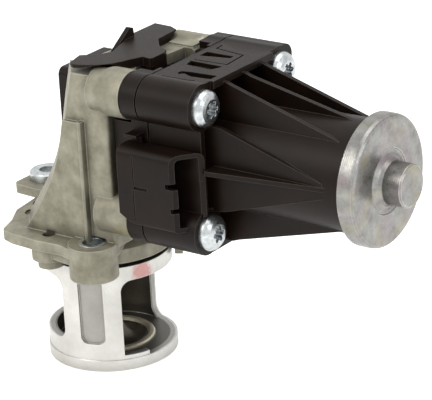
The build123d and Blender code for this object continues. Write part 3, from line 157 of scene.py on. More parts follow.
@dataclass(frozen=True)
class Surface:
    """What every finish shares: two base tones, gloss, grain, edges painted lighter for rubbing and as a painted
    highlight, and painted shade in corners.
    """

    name: str
    light_tone: str
    dark_tone: str
    metallic: float = 0.0
    roughness: float = 0.5
    roughness_spread: float = 0.1
    mottle_mm: float = 8.0  # size of the slow changes of tone
    grain_mm: float = 0.5  # size of the fine grain
    grain_depth_mm: float = 0.01
    specular: float = 0.5
    # edges painted lighter: rubbed edges, and a painted highlight along edges
    edge_rub_and_highlight_tone: str = ""
    edge_rub_and_highlight_strength: float = 0.0
    edge_width_mm: float = 0.6
    # painted shade: corners and recesses darkened by ambient occlusion
    corner_shade_tone: str = ""
    corner_shade_strength: float = 0.0
    corner_shade_reach_mm: float = 5.0
    rounding_mm: float = 0.3  # radius that every edge seems broken with

    def place(self, tree: Tree) -> Socket:
        """The point being shaded, in the CAD frame's metres."""
        return add_node(tree, "ShaderNodeTexCoord").outputs["Object"]

    def mottle(self, tree: Tree, place: Socket) -> Socket:
        """Slow changes of tone over the surface, from 0 to 1."""
        return remapped(tree, noise(tree, place, self.mottle_mm, Detail=5.0, Roughness=0.6), MOTTLE_SPREAD)

    def grain(self, tree: Tree, place: Socket) -> Socket:
        """Height of the fine grain, from 0 to 1."""
        return noise(tree, place, self.grain_mm, Detail=3.0, Roughness=0.7)

    def tone(self, tree: Tree, factor: Socket) -> Socket:
        """Base colour between the two tones."""
        ramp = add_node(tree, "ShaderNodeMix", {"data_type": "RGBA"}, Factor=factor)
        ramp.inputs[6].default_value = linear(self.dark_tone)
        ramp.inputs[7].default_value = linear(self.light_tone)
        return ramp.outputs[2]

    def over(self, tree: Tree, colour: Socket, factor: Socket, code: str) -> Socket:
        """Lays a second colour over the first.

        Args:
            tree: The material's node tree.
            colour: The colour underneath.
            factor: How much of the second colour shows, from 0 to 1.
            code: The second colour as hex.

        Returns:
            The mixed colour.
        """
        mix = add_node(tree, "ShaderNodeMix", {"data_type": "RGBA"}, Factor=factor)
        tree.links.new(colour, mix.inputs[6])
        mix.inputs[7].default_value = linear(code)
        return mix.outputs[2]

    def broken(self, tree: Tree, radius_mm: float, samples: int) -> Socket:
        """The normal that the surface would have with its edges rounded."""
        return add_node(tree, "ShaderNodeBevel", {"samples": samples}, Radius=radius_mm * MM).outputs[0]

    def edge_rub_and_highlight_mask(self, tree: Tree) -> Socket:
        """Where an edge is painted lighter, as rubbed metal and as a painted highlight, from 0 on a flat face to 1
        on the edge.
        """
        soft = self.broken(tree, self.edge_width_mm, EDGE_AND_SHADE_SAMPLES)
        flat = add_node(tree, "ShaderNodeNewGeometry").outputs["Normal"]
        agree = add_node(tree, "ShaderNodeVectorMath", {"operation": "DOT_PRODUCT"}, i0=soft, i1=flat)
        return remapped(tree, agree.outputs["Value"], EDGE_AGREEMENT)

    def corner_shade_mask(self, tree: Tree) -> Socket:
        """Where painted shade darkens the surface, from 0 in the open to 1 in a corner."""
        settings = {"samples": EDGE_AND_SHADE_SAMPLES, "only_local": False}
        shade = add_node(tree, "ShaderNodeAmbientOcclusion", settings, Distance=self.corner_shade_reach_mm * MM)
        return remapped(tree, shade.outputs["AO"], OPEN_SHARE)

    def dab(self, tree: Tree, place: Socket, centre_mm: Point, reach_mm: float, ragged: float = 0.35) -> Socket:
        """A ragged round patch, from 1 in its middle to 0 outside.

        Args:
            tree: The material's node tree.
            place: The point being shaded.
            centre_mm: Its middle.
            reach_mm: Its radius.
            ragged: How much its edge wanders, as a share of its radius.

        Returns:
            The mask.
        """
        centre = tuple(c * MM for c in centre_mm)
        away = add_node(tree, "ShaderNodeVectorMath", {"operation": "DISTANCE"}, i0=place, i1=centre)
        rag = noise(tree, place, reach_mm / DAB_RAGS, Detail=4.0, Roughness=0.7)
        wander = combined(tree, "MULTIPLY", rag, 2 * ragged * reach_mm * MM)
        edge = combined(tree, "ADD", away.outputs["Value"], wander)
        start, full = DAB_EDGE
        return remapped(tree, edge, (reach_mm * MM * start, reach_mm * MM * full))

    def extra_colour(self, tree: Tree, place: Socket, colour: Socket) -> Socket:
        """Colour that one finish adds; none by default."""
        return colour

    def extra_height(self, tree: Tree, place: Socket, height: Socket) -> Socket:
        """Relief that one finish adds; none by default."""
        return height

    def build(self) -> bpy.types.Material:
        """Makes the material.

        Returns:
            The finished material.
        """
        material = bpy.data.materials.new(self.name)
        material.use_nodes = True
        tree = material.node_tree
        shader = tree.nodes["Principled BSDF"]
        place = self.place(tree)
        mottle, grain = self.mottle(tree, place), self.grain(tree, place)
        colour = self.extra_colour(tree, place, self.tone(tree, mottle))
        # Painted shade in corners and recesses.
        if self.corner_shade_strength:
            corner_shade = combined(tree, "MULTIPLY", self.corner_shade_mask(tree), self.corner_shade_strength)
            colour = self.over(tree, colour, corner_shade, self.corner_shade_tone)
        # Edges painted lighter: rubbed edges, and a painted highlight.
        if self.edge_rub_and_highlight_strength:
            edge_rub_and_highlight = combined(tree, "MULTIPLY", self.edge_rub_and_highlight_mask(tree), self.edge_rub_and_highlight_strength)
            colour = self.over(tree, colour, edge_rub_and_highlight, self.edge_rub_and_highlight_tone)
        smoothest = max(LOWEST_ROUGHNESS, self.roughness - self.roughness_spread)
        gloss = remapped(tree, grain, GRAIN_SPREAD, (smoothest, self.roughness + self.roughness_spread))
        height = self.extra_height(tree, place, grain)
        normal = self.broken(tree, self.rounding_mm, ROUNDING_SAMPLES)
        depth = self.grain_depth_mm * MM
        bump = add_node(tree, "ShaderNodeBump", Height=height, Distance=depth, Strength=1.0, Normal=normal)
        tree.links.new(colour, shader.inputs["Base Color"])
        tree.links.new(gloss, shader.inputs["Roughness"])
        tree.links.new(bump.outputs[0], shader.inputs["Normal"])
        shader.inputs["Metallic"].default_value = self.metallic
        shader.inputs["Specular IOR Level"].default_value = self.specular
        return material


@dataclass(frozen=True)
class TurnedSurface(Surface):
    """A lathe-turned face: fine rings about an axis."""

    axis: Axis = Axis.STEM
    centre_mm: Point = (0.0, 0.0, 0.0)
    ring_mm: float = 0.5  # pitch of the rings, coarser than the real feed so that it shows
    ring_share: float = 0.6  # how much of the relief is rings and how much is grain
    fade_rings: float = 1.3  # how many rings pass before their depth changes

    def radius(self, tree: Tree, place: Socket) -> Socket:
        """Distance from the axis, in metres."""
        centre = tuple(c * MM for c in self.centre_mm)
        moved = add_node(tree, "ShaderNodeVectorMath", {"operation": "SUBTRACT"}, i0=place, i1=centre).outputs[0]
        flatten = (1, 1, 0) if self.axis is Axis.STEM else (0, 1, 1)
        radial = add_node(tree, "ShaderNodeVectorMath", {"operation": "MULTIPLY"}, i0=moved, i1=flatten).outputs[0]
        return add_node(tree, "ShaderNodeVectorMath", {"operation": "LENGTH"}, i0=radial).outputs["Value"]

    def extra_height(self, tree: Tree, place: Socket, height: Socket) -> Socket:
        """Adds the tool's rings to the grain."""
        parts = add_node(tree, "ShaderNodeSeparateXYZ", Vector=place)
        along = combined(tree, "ADD", self.radius(tree, place), parts.outputs[self.axis.value])
        turns = combined(tree, "MULTIPLY", along, 2 * math.pi / (self.ring_mm * MM))
        wave = add_node(tree, "ShaderNodeMath", {"operation": "SINE"}, i0=turns).outputs[0]
        scale = 1 / (self.fade_rings * self.ring_mm * MM)
        line = add_node(tree, "ShaderNodeTexNoise", {"noise_dimensions": "1D"}, W=along, Scale=scale)
        mixed = combined(tree, "MULTIPLY", wave, line.outputs["Fac"])
        share = add_node(tree, "ShaderNodeMix", {"data_type": "FLOAT"}, Factor=self.ring_share)
        tree.links.new(height, share.inputs[2])
        tree.links.new(mixed, share.inputs[3])
        return share.outputs[0]


@dataclass(frozen=True)
class CastSurface(Surface):
    """A casting with a yellow patch at one boss."""

    yellow_patch_tone: str = "8a7b38"
    yellow_patch_at_mm: Point = (26.5, -21.5, 56.5)
    yellow_patch_reach_mm: float = 6.5
    yellow_patch_strength: float = 0.6

    def extra_colour(self, tree: Tree, place: Socket, colour: Socket) -> Socket:
        """Lays the yellow patch over the metal."""
        patch = self.dab(tree, place, self.yellow_patch_at_mm, self.yellow_patch_reach_mm)
        return self.over(tree, colour, combined(tree, "MULTIPLY", patch, self.yellow_patch_strength), self.yellow_patch_tone)


@dataclass(frozen=True)
class PlatedSurface(TurnedSurface):
    """Zinc plate with the faint yellow and pink clouds of its passivation."""

    yellow_tone: str = "9c9475"
    pink_tone: str = "94848a"
    cloud_mm: float = 9.0
    cloud_strength: float = 0.6
    pink_shift: float = 7.3  # how far apart in the noise the two clouds are, so that they differ

    def extra_colour(self, tree: Tree, place: Socket, colour: Socket) -> Socket:
        """Lays the two clouds over the metal."""
        for shift, tone in ((0.0, self.yellow_tone), (self.pink_shift, self.pink_tone)):
            drift = noise(tree, place, self.cloud_mm, {"noise_dimensions": "4D"}, W=shift, Detail=3.0)
            cloud = remapped(tree, drift, CLOUD_SPREAD, (0.0, self.cloud_strength))
            colour = self.over(tree, colour, cloud, tone)
        return colour


@dataclass(frozen=True)
class CageSurface(TurnedSurface):
    """Turned outside; as-cast and sooty inside and in the side groove; an inspector's faded red dab."""

    soot_tone: str = "3f3a31"
    soot_radii_mm: Pair = (21.35, 21.0)  # where soot starts, going inwards, and where it is full
    soot_strength: float = 0.92
    wander_mm: float = 0.5  # how far the soot's edge wanders
    wander_size_mm: float = 2.2
    deep_radii_mm: Pair = (19.7, 19.3)  # the side groove's wall, where soot is thinner, and the inside
    groove_share: float = 0.55
    floor_z_mm: Pair = (2.2, 3.7)  # the underside, where soot is thinner, and the floor
    underside_share: float = 0.4
    dab_tone: str = "b5463f"
    dab_at_mm: Point = (20.0, -7.4, 34.0)
    dab_reach_mm: float = 8.0
    dab_ragged: float = 0.5
    dab_strength: float = 0.55

    def soot(self, tree: Tree, place: Socket) -> Socket:
        """How much soot shows, from 0 to 1."""
        rag = noise(tree, place, self.wander_size_mm, Detail=4.0)
        wander = combined(tree, "MULTIPLY", rag, self.wander_mm * MM)
        radius = combined(tree, "ADD", self.radius(tree, place), wander)
        height = add_node(tree, "ShaderNodeSeparateXYZ", Vector=place).outputs["Z"]
        steps = (
            (radius, self.soot_radii_mm, (0.0, self.soot_strength)),
            (radius, self.deep_radii_mm, (self.groove_share, 1.0)),
            (height, self.floor_z_mm, (self.underside_share, 1.0)),
        )
        inside, deep, above = (
            remapped(tree, value, (start * MM, full * MM), target) for value, (start, full), target in steps
        )
        return combined(tree, "MULTIPLY", combined(tree, "MULTIPLY", inside, deep), above)

    def extra_colour(self, tree: Tree, place: Socket, colour: Socket) -> Socket:
        """Lays soot and paint over the metal."""
        colour = self.over(tree, colour, self.soot(tree, place), self.soot_tone)
        patch = self.dab(tree, place, self.dab_at_mm, self.dab_reach_mm, self.dab_ragged)
        return self.over(tree, colour, combined(tree, "MULTIPLY", patch, self.dab_strength), self.dab_tone)


# ---- Finishes ----
# Aluminium alloy, gravity cast and shot blasted: a dull grey with an olive cast, brighter where edges are rubbed,
# with painted shade in its corners.
CAST_ALUMINIUM = CastSurface(
    "cast_aluminium_blasted", "a9a593", "827e6c", metallic=0.4, roughness_spread=0.08, mottle_mm=6.0, grain_mm=0.6,
    grain_depth_mm=0.05, edge_rub_and_highlight_tone="d2cfc2", edge_rub_and_highlight_strength=0.7, corner_shade_tone="38342a", corner_shade_strength=0.6,
    rounding_mm=0.7,
)
# Aluminium alloy, cast and then turned bright outside: near white with fine rings, and dark in its recesses from
# soot and painted shade; a painted highlight along its edges.
TURNED_ALUMINIUM = CageSurface(
    "aluminium_turned", "dddcd7", "c3c1ba", metallic=0.75, roughness=0.34, mottle_mm=14.0, grain_mm=0.4,
    grain_depth_mm=0.008, ring_mm=0.8, edge_rub_and_highlight_tone="f6f5f0", edge_rub_and_highlight_strength=0.5, corner_shade_tone="5a544a",
    corner_shade_strength=0.5, rounding_mm=0.4,
)
# Steel, turned and zinc plated, clear passivated: silver with faint yellow and pink patches, a painted highlight
# along its edges and painted shade in its recesses.
ZINC_CAP = PlatedSurface(
    "steel_turned_zinc_plated", "9b9b97", "7b7977", metallic=1.0, roughness=0.34, mottle_mm=4.0, grain_mm=0.7,
    grain_depth_mm=0.015, axis=Axis.MOTOR, centre_mm=(0.0, 2.0, 78.6), ring_mm=0.7, edge_rub_and_highlight_tone="ecece8",
    edge_rub_and_highlight_strength=0.6, corner_shade_tone="4b4843", corner_shade_strength=0.45, corner_shade_reach_mm=3.0, rounding_mm=0.5,
)
# Steel, cold headed and zinc plated, blue passivated: bright and cool, a painted highlight on its edges and
# painted shade in the recess of a screw's head.
ZINC_SCREW = Surface(
    "steel_headed_zinc_plated", "d3d7d7", "a9adb0", metallic=1.0, roughness=0.3, mottle_mm=1.6, grain_mm=0.3,
    grain_depth_mm=0.012, edge_rub_and_highlight_tone="eef4f6", edge_rub_and_highlight_strength=0.3, corner_shade_tone="3a3d40", corner_shade_strength=0.3,
    corner_shade_reach_mm=1.2,
)
# Glass-filled polyamide, injection moulded: brown-black, satin, greyer where light grazes it; its edges are
# painted grey as a painted highlight.
MOULDED_POLYAMIDE = Surface(
    "polyamide_glass_filled_moulded", "1e120b", "120b07", roughness=0.42, roughness_spread=0.08, mottle_mm=11.0,
    grain_mm=0.4, grain_depth_mm=0.012, specular=0.17, edge_rub_and_highlight_tone="6e655c", edge_rub_and_highlight_strength=0.55, edge_width_mm=0.35,
)
# Polyoxymethylene, moulded natural: cream and softly glossy.
MOULDED_ACETAL = Surface("acetal_moulded", "d9d3c0", "cdc6b1", roughness=0.38, mottle_mm=6.0, grain_mm=0.4)
# Steel, hardened and ground: clean, bright and sharply reflecting.
GROUND_STEEL = Surface(
    "steel_hardened_ground", "bdbbb6", "9c9a96", metallic=1.0, roughness=0.22, mottle_mm=4.0, grain_mm=0.3,
    grain_depth_mm=0.004,
)
# Steel, hardened and ground, painted pale cream as a painted highlight, so that it shows as a lit pale ring in the
# dark cage, with painted shade in its corners.
SEAT_STEEL = Surface(
    "steel_seat_ground", "e3dcc4", "b9b29c", metallic=0.6, roughness=0.38, mottle_mm=5.0, grain_mm=0.3,
    grain_depth_mm=0.006, corner_shade_tone="3a352c", corner_shade_strength=0.6, corner_shade_reach_mm=2.0,
)
# Heat-resisting steel, ground and then tinted by hot gas: straw to grey brown.
VALVE_STEEL = Surface(
    "steel_heat_resisting_tinted", "6a6257", "3d3831", metallic=1.0, roughness=0.38, mottle_mm=6.0, grain_mm=0.4,
    grain_depth_mm=0.01,
)
# Spring steel, drawn and oiled: blue-grey with long narrow lights.
SPRING_STEEL = Surface("steel_spring_drawn", "7f8288", "5d6066", metallic=1.0, roughness=0.28, mottle_mm=3.0)
# Stainless sheet, pressed: warm grey, half dull.
PRESSED_STAINLESS = Surface("stainless_pressed", "a8a49c", "8b877f", metallic=1.0, roughness=0.36)
# Bronze, sintered and oil filled: dull and porous.
SINTERED_BRONZE = Surface(
    "bronze_sintered", "a0835a", "7c6342", metallic=0.9, roughness=0.55, grain_mm=0.25, grain_depth_mm=0.02
)
# Nitrile rubber, moulded: black and dull, a thin dark line at each joint.
MOULDED_RUBBER = Surface("rubber_moulded", "1c1b1a", "121110", roughness=0.62, grain_mm=0.4, specular=0.35)
# Graphite, pressed: dark grey with a faint sheen.
PRESSED_GRAPHITE = Surface("graphite_pressed", "3b3a39", "2b2a29", roughness=0.6, metallic=0.2)
# Brass, stamped and tinned: pale, a glint deep in the plug.
TINNED_BRASS = Surface("brass_stamped_tinned", "cbc8bd", "b3b0a5", metallic=1.0, roughness=0.3)
# Glass epoxy board with solder resist: green and glossy.
CIRCUIT_BOARD = Surface("epoxy_board_resist", "1d5b39", "164a2e", roughness=0.35, mottle_mm=3.0)
# Ferrite, sintered: nearly black and dull.
SINTERED_FERRITE = Surface("ferrite_sintered", "343231", "272524", roughness=0.6, metallic=0.2)
# Carbon, pressed: black and dull.
PRESSED_CARBON = Surface("carbon_pressed", "2a2a2b", "1d1d1e", roughness=0.55)
# Electrical steel, stamped and stacked: plain mid grey.
LAMINATION_STEEL = Surface(
    "electrical_steel_stacked", "77787c", "5d5e62", metallic=1.0, roughness=0.4, mottle_mm=3.0
)
# Copper wire, drawn and enamelled: red-brown under a clear gloss.
ENAMELLED_COPPER = Surface(
    "copper_drawn_enamelled", "a3522b", "7c3a1d", metallic=0.7, roughness=0.3, mottle_mm=1.2
)
# Copper, turned: bright salmon.
TURNED_COPPER = Surface("copper_turned", "c98a63", "ab6c47", metallic=1.0, roughness=0.25)

FINISH_NODES: dict[Surface, tuple[str, ...]] = {
    CAST_ALUMINIUM: ("valve_body",),
    TURNED_ALUMINIUM: ("valve_cage",),
    SEAT_STEEL: ("valve_seat",),
    PRESSED_GRAPHITE: ("cage_seal",),
    SINTERED_BRONZE: ("stem_guide", "shaft_bushes", "end_bearing", "drive_bearing"),
    MOULDED_RUBBER: ("stem_seal", "shaft_seal", "case_gasket"),
    PRESSED_STAINLESS: ("soot_shield",),
    ZINC_SCREW: ("flange_bush", "rear_lug_bush", "motor_can", "housing_screws"),
    SPRING_STEEL: ("return_spring",),
    MOULDED_POLYAMIDE: (
        "gear_case", "motor_housing", "connector_shroud", "brush_plate", "top_cover", "rear_cover",
    ),
    TINNED_BRASS: ("connector_terminals",),
    CIRCUIT_BOARD: ("sensor_board",),
    ZINC_CAP: ("end_cap",),
    SINTERED_FERRITE: ("field_magnets", "sensor_magnet"),
    PRESSED_CARBON: ("brushes",),
    GROUND_STEEL: (
        "intermediate_axle", "stem_yoke", "output_shaft", "crank_lever", "crank_roller", "motor_shaft",
        "motor_pinion",
    ),
    VALVE_STEEL: ("poppet_valve",),
    MOULDED_ACETAL: ("sector_gear", "intermediate_gear"),
    LAMINATION_STEEL: ("armature_core",),
    ENAMELLED_COPPER: ("armature_windings",),
    TURNED_COPPER: ("commutator",),
}
NODE_FINISHES = {name: finish for finish, names in FINISH_NODES.items() for name in names}


@dataclass
class Dressing:
    """Gives each CAD node its finish."""

    nodes: dict[str, Piece]
    made: dict[str, bpy.types.Material] = field(default_factory=dict)

    def material(self, finish: Surface) -> bpy.types.Material:
        """The finish's material, made once."""
        if finish.name not in self.made:
            self.made[finish.name] = finish.build()
        return self.made[finish.name]

    def dress(self, piece: Piece, finish: Surface) -> None:
        """Puts one finish on a piece.

        Args:
            piece: The mesh object to dress.
            finish: Its material and the process that shaped it.
        """
        piece.data.materials.clear()
        piece.data.materials.append(self.material(finish))
        LOG.info("dressed %s in %s", piece.name, finish.name)

    def build(self) -> None:
        """Dresses every CAD node."""
        for name, node in self.nodes.items():
            self.dress(node, NODE_FINISHES[name])


# ---- Mesh tools ----
class Along(Enum):
    """The axis that an outline is pushed along."""

    X = 0
    Y = 1
    Z = 2


class Cut(Enum):
    """What a tool does to a workpiece."""

    JOIN = "UNION"
    TAKE = "DIFFERENCE"


def placed(along: Along, length: float, across: Pair) -> Vector:
    """A point in metres from its place along an axis and across it.

    Args:
        along: The axis.
        length: How far along it, in millimetres.
        across: The other two coordinates in their own order, in millimetres.

    Returns:
        The point.
    """
    values = list(across)
    values.insert(along.value, length)
    return Vector(values) * MM


def mesh_object(name: str, shape: bmesh.types.BMesh) -> Piece:
    """Turns a finished bmesh into an object in the scene."""
    bmesh.ops.remove_doubles(shape, verts=shape.verts, dist=WELD)
    bmesh.ops.recalc_face_normals(shape, faces=shape.faces)
    mesh = bpy.data.meshes.new(name)
    shape.to_mesh(mesh)
    shape.free()
    piece = bpy.data.objects.new(name, mesh)
    bpy.context.scene.collection.objects.link(piece)
    return piece


def skinned(ends: list[list[Vector]]) -> Piece:
    """A closed solid between two outlines.

    Args:
        ends: Both outlines, corner by corner, in metres.

    Returns:
        The closed solid.
    """
    shape = bmesh.new()
    first, last = ([shape.verts.new(corner) for corner in end] for end in ends)
    shape.faces.new(first)
    shape.faces.new(last)
    for i in range(len(first)):
        j = (i + 1) % len(first)
        shape.faces.new((first[i], first[j], last[j], last[i]))
    return mesh_object("tool", shape)


def prism(outline: Outline, along: Along, low: float, high: float) -> Piece:
    """An outline pushed along an axis.

    Args:
        outline: Corners across the axis, in millimetres.
        along: The axis.
        low: Where it starts, in millimetres.
        high: Where it ends, in millimetres.

    Returns:
        The closed solid.
    """
    return skinned([[placed(along, at, corner) for corner in outline] for at in (low, high)])


def slab(low: Point, high: Point) -> Piece:
    """A plain block between two corners in millimetres, as a tool."""
    outline = ((low[0], low[1]), (high[0], low[1]), (high[0], high[1]), (low[0], high[1]))
    return prism(outline, Along.Z, low[2], high[2])


def turned(profile: Outline, along: Along, centre: Pair) -> Piece:
    """A closed profile turned about an axis.

    Args:
        profile: Corners as length along the axis and radius, in millimetres.
        along: The axis.
        centre: Where the axis is, across it, in millimetres.

    Returns:
        The closed solid.
    """
    shape = bmesh.new()
    rings = []
    for i in range(TURN_STEPS):
        angle = 2 * math.pi * i / TURN_STEPS
        cos, sin = math.cos(angle), math.sin(angle)
        places = [(length, (centre[0] + radius * cos, centre[1] + radius * sin)) for length, radius in profile]
        rings.append([shape.verts.new(placed(along, length, across)) for length, across in places])
    for i in range(TURN_STEPS):
        ring, following = rings[i], rings[(i + 1) % TURN_STEPS]
        for j in range(len(profile)):
            k = (j + 1) % len(profile)
            if profile[j][1] or profile[k][1]:
                shape.faces.new((ring[j], ring[k], following[k], following[j]))
    return mesh_object("tool", shape)


def rod(along: Along, centre: Pair, radius: float, low: float, high: float) -> Piece:
    """A round bar, as a tool."""
    return turned(((low, 0.0), (low, radius), (high, radius), (high, 0.0)), along, centre)


def sector(radii: Pair, angles: Pair, heights: Pair) -> Piece:
    """Part of a ring about the stem, as a tool.

    Args:
        radii: Its inside and outside radius, in millimetres.
        angles: Where it starts and ends, in degrees.
        heights: Its bottom and top, in millimetres.

    Returns:
        The closed solid.
    """
    span = angles[1] - angles[0]
    turns = [math.radians(angles[0] + span * step / SECTOR_STEPS) for step in range(SECTOR_STEPS + 1)]
    inner = [(radii[0] * math.cos(turn), radii[0] * math.sin(turn)) for turn in turns]
    outer = [(radii[1] * math.cos(turn), radii[1] * math.sin(turn)) for turn in reversed(turns)]
    return prism((*inner, *outer), Along.Z, *heights)


def rounded(outline: Outline, radii: tuple[float, ...]) -> Outline:
    """Rounds the corners of an outline.

    Args:
        outline: Corners, in order.
        radii: The radius at each corner, or one for all.

    Returns:
        The outline with its corners rounded.
    """
    points = []
    count = len(outline)
    for i in range(count):
        radius = radii[i % len(radii)]
        corner = Vector(outline[i])
        before, after = Vector(outline[i - 1]) - corner, Vector(outline[(i + 1) % count]) - corner
        half = before.angle(after) / 2
        if not radius or half > math.radians(FLAT_DEG):
            points.append(tuple(corner))
            continue
        reach = min(radius / math.tan(half), 0.49 * before.length, 0.49 * after.length)  # under half a side
        start, end = corner + before.normalized() * reach, corner + after.normalized() * reach
        for step in range(ROUND_STEPS + 1):
            share = step / ROUND_STEPS
            bent = (1 - share) ** 2 * start + 2 * share * (1 - share) * corner + share**2 * end
            points.append(tuple(bent))
    return tuple(points)


def worked(piece: Piece, cut: Cut, tools: list[Piece]) -> Piece:
    """Joins tools to a workpiece or takes them out of it, and uses them up.

    Args:
        piece: The workpiece.
        cut: Whether the tools add or take away.
        tools: Closed solids.

    Returns:
        The same workpiece with its new mesh.
    """
    for tool in tools:
        modifier = piece.modifiers.new("work", "BOOLEAN")
        modifier.operation, modifier.solver, modifier.object = cut.value, "EXACT", tool
        graph = bpy.context.evaluated_depsgraph_get()
        mesh = bpy.data.meshes.new_from_object(piece.evaluated_get(graph), depsgraph=graph)
        piece.modifiers.remove(modifier)
        old, piece.data = piece.data, mesh
        bpy.data.meshes.remove(old)
        bpy.data.objects.remove(tool)
    return piece


# ---- Pieces that stand for CAD nodes ----
@dataclass
class Replacement:
    """A piece that stands for one CAD node with more detail."""

    nodes: dict[str, Piece]
    finishes: Dressing
    node: str = ""
    slot: str = ""
    bevel_mm: float = 0.0  # width of the bevel on its edges, or 0 for none

    def shape(self) -> Piece:
        """Makes the piece's mesh; each kind of piece has its own."""
        raise NotImplementedError

    def blank(self) -> Piece:
        """Copies the CAD node's shape and welds its split corners; the node is left as it is.

        Returns:
            The workpiece.
        """
        shape = bmesh.new()
        shape.from_mesh(self.nodes[self.node].data)
        piece = mesh_object(f"{self.node}_detailed", shape)
        for layer in ("custom_normal", "sharp_face", "sharp_edge"):
            if layer in piece.data.attributes:
                piece.data.attributes.remove(piece.data.attributes[layer])
        return piece

    def smooth(self, piece: Piece) -> None:
        """Shades the piece smoothly between its edges and breaks its edges.

        Args:
            piece: The piece.
        """
        piece.data.shade_smooth()
        piece.data.set_sharp_from_angle(angle=math.radians(CREASE_DEG))
        if self.bevel_mm:
            bevel = piece.modifiers.new("broken_edges", "BEVEL")
            bevel.width, bevel.segments, bevel.limit_method = self.bevel_mm * MM, BEVEL_SEGMENTS, "ANGLE"
            bevel.angle_limit = math.radians(CREASE_DEG)
            bevel.harden_normals = True

    def dress(self, piece: Piece) -> None:
        """Puts the node's finish on the piece."""
        self.finishes.dress(piece, NODE_FINISHES[self.node])

    def build(self) -> None:
        """Makes, dresses and places the piece."""
        piece = self.shape()
        self.smooth(piece)
        piece.name = f"{self.node}_detailed"
        self.dress(piece)
        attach(piece, "housing")
        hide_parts(self.node)
        LOG.info("%s stands for %s with %d faces", piece.name, self.node, len(piece.data.polygons))


@dataclass
class CastBody(Replacement):
    """The aluminium casting: tapered screw bosses, crown, bridge and ear at the flange."""

    node: str = "valve_body"
    slot: str = "cast_aluminium"
    bosses: tuple[tuple[float, float, float, float], ...] = (  # taper's start, radius there, its end, radius there
        (21.0, 4.8, 28.0, 7.2), (12.0, 4.2, 22.0, 7.9), (16.0, 4.5, 26.0, 7.2), (16.0, 4.5, 26.0, 7.2),
    )
    face_x: float = 29.98  # where the gear case lies on the bosses
    screw_hole: float = 3.05  # radius
    screw_hole_x: Pair = (21.0, 31.0)
    locating: Pair = (-3.2, -25.6)  # the locating hole's axis
    locating_collar: Outline = ((38.0, 4.2), (38.0, 6.4), (41.2, 6.4), (41.2, 4.2))  # taken off its lower end
    bead: Outline = (
        (11.3, -24.0), (11.5, -25.1), (12.0, -25.4), (12.7, -25.1), (13.0, -24.3), (13.1, -22.5), (11.3, -22.5),
    )
    bead_z: Pair = (48.6, 89.9)
    rail: tuple[Point, Point] = ((19.6, 14.8, 104.6), (29.2, 23.8, 106.3))
    crown: Outline = (
        (16.9, -15.4), (26.2, -15.4), (24.4, -9.0), (23.5, -2.0), (24.2, 3.0), (25.3, 7.0), (26.1, 14.8),
        (16.9, 14.8),
    )
    crown_z: Pair = (101.6, 105.5)
    bridge: Outline = ((-3.2, -29.4), (9.0, -31.2), (12.0, -20.0), (-3.0, -20.0))
    bridge_z: Pair = (42.6, 46.4)
    ear_deg: Pair = (28.0, 42.0)
    ear: tuple[tuple[Pair, Pair], ...] = (  # radii and heights
        ((22.65, 25.3), (33.4, 43.1)), ((20.5, 25.3), (39.6, 43.1)),
    )

    def cones(self) -> list[Piece]:
        """Tapered bosses behind the screws."""
        made = []
        for centre, (start, thin, full, thick) in zip(SCREW_PLACES, self.bosses):
            profile = ((start, 0.0), (start, thin), (full, thick), (self.face_x, thick), (self.face_x, 0.0))
            made.append(turned(profile, Along.X, centre))
        return made

    def shape(self) -> Piece:
        """The CAD casting with its finer forms."""
        crown = prism(self.crown, Along.Z, *self.crown_z)
        bridge = prism(self.bridge, Along.Z, *self.bridge_z)
        ear = [sector(radii, self.ear_deg, heights) for radii, heights in self.ear]
        bead = prism(self.bead, Along.Z, *self.bead_z)
        piece = worked(self.blank(), Cut.JOIN, [*self.cones(), crown, bridge, *ear, slab(*self.rail), bead])
        holes = [rod(Along.X, centre, self.screw_hole, *self.screw_hole_x) for centre in SCREW_PLACES]
        return worked(piece, Cut.TAKE, [turned(self.locating_collar, Along.Z, self.locating), *holes])


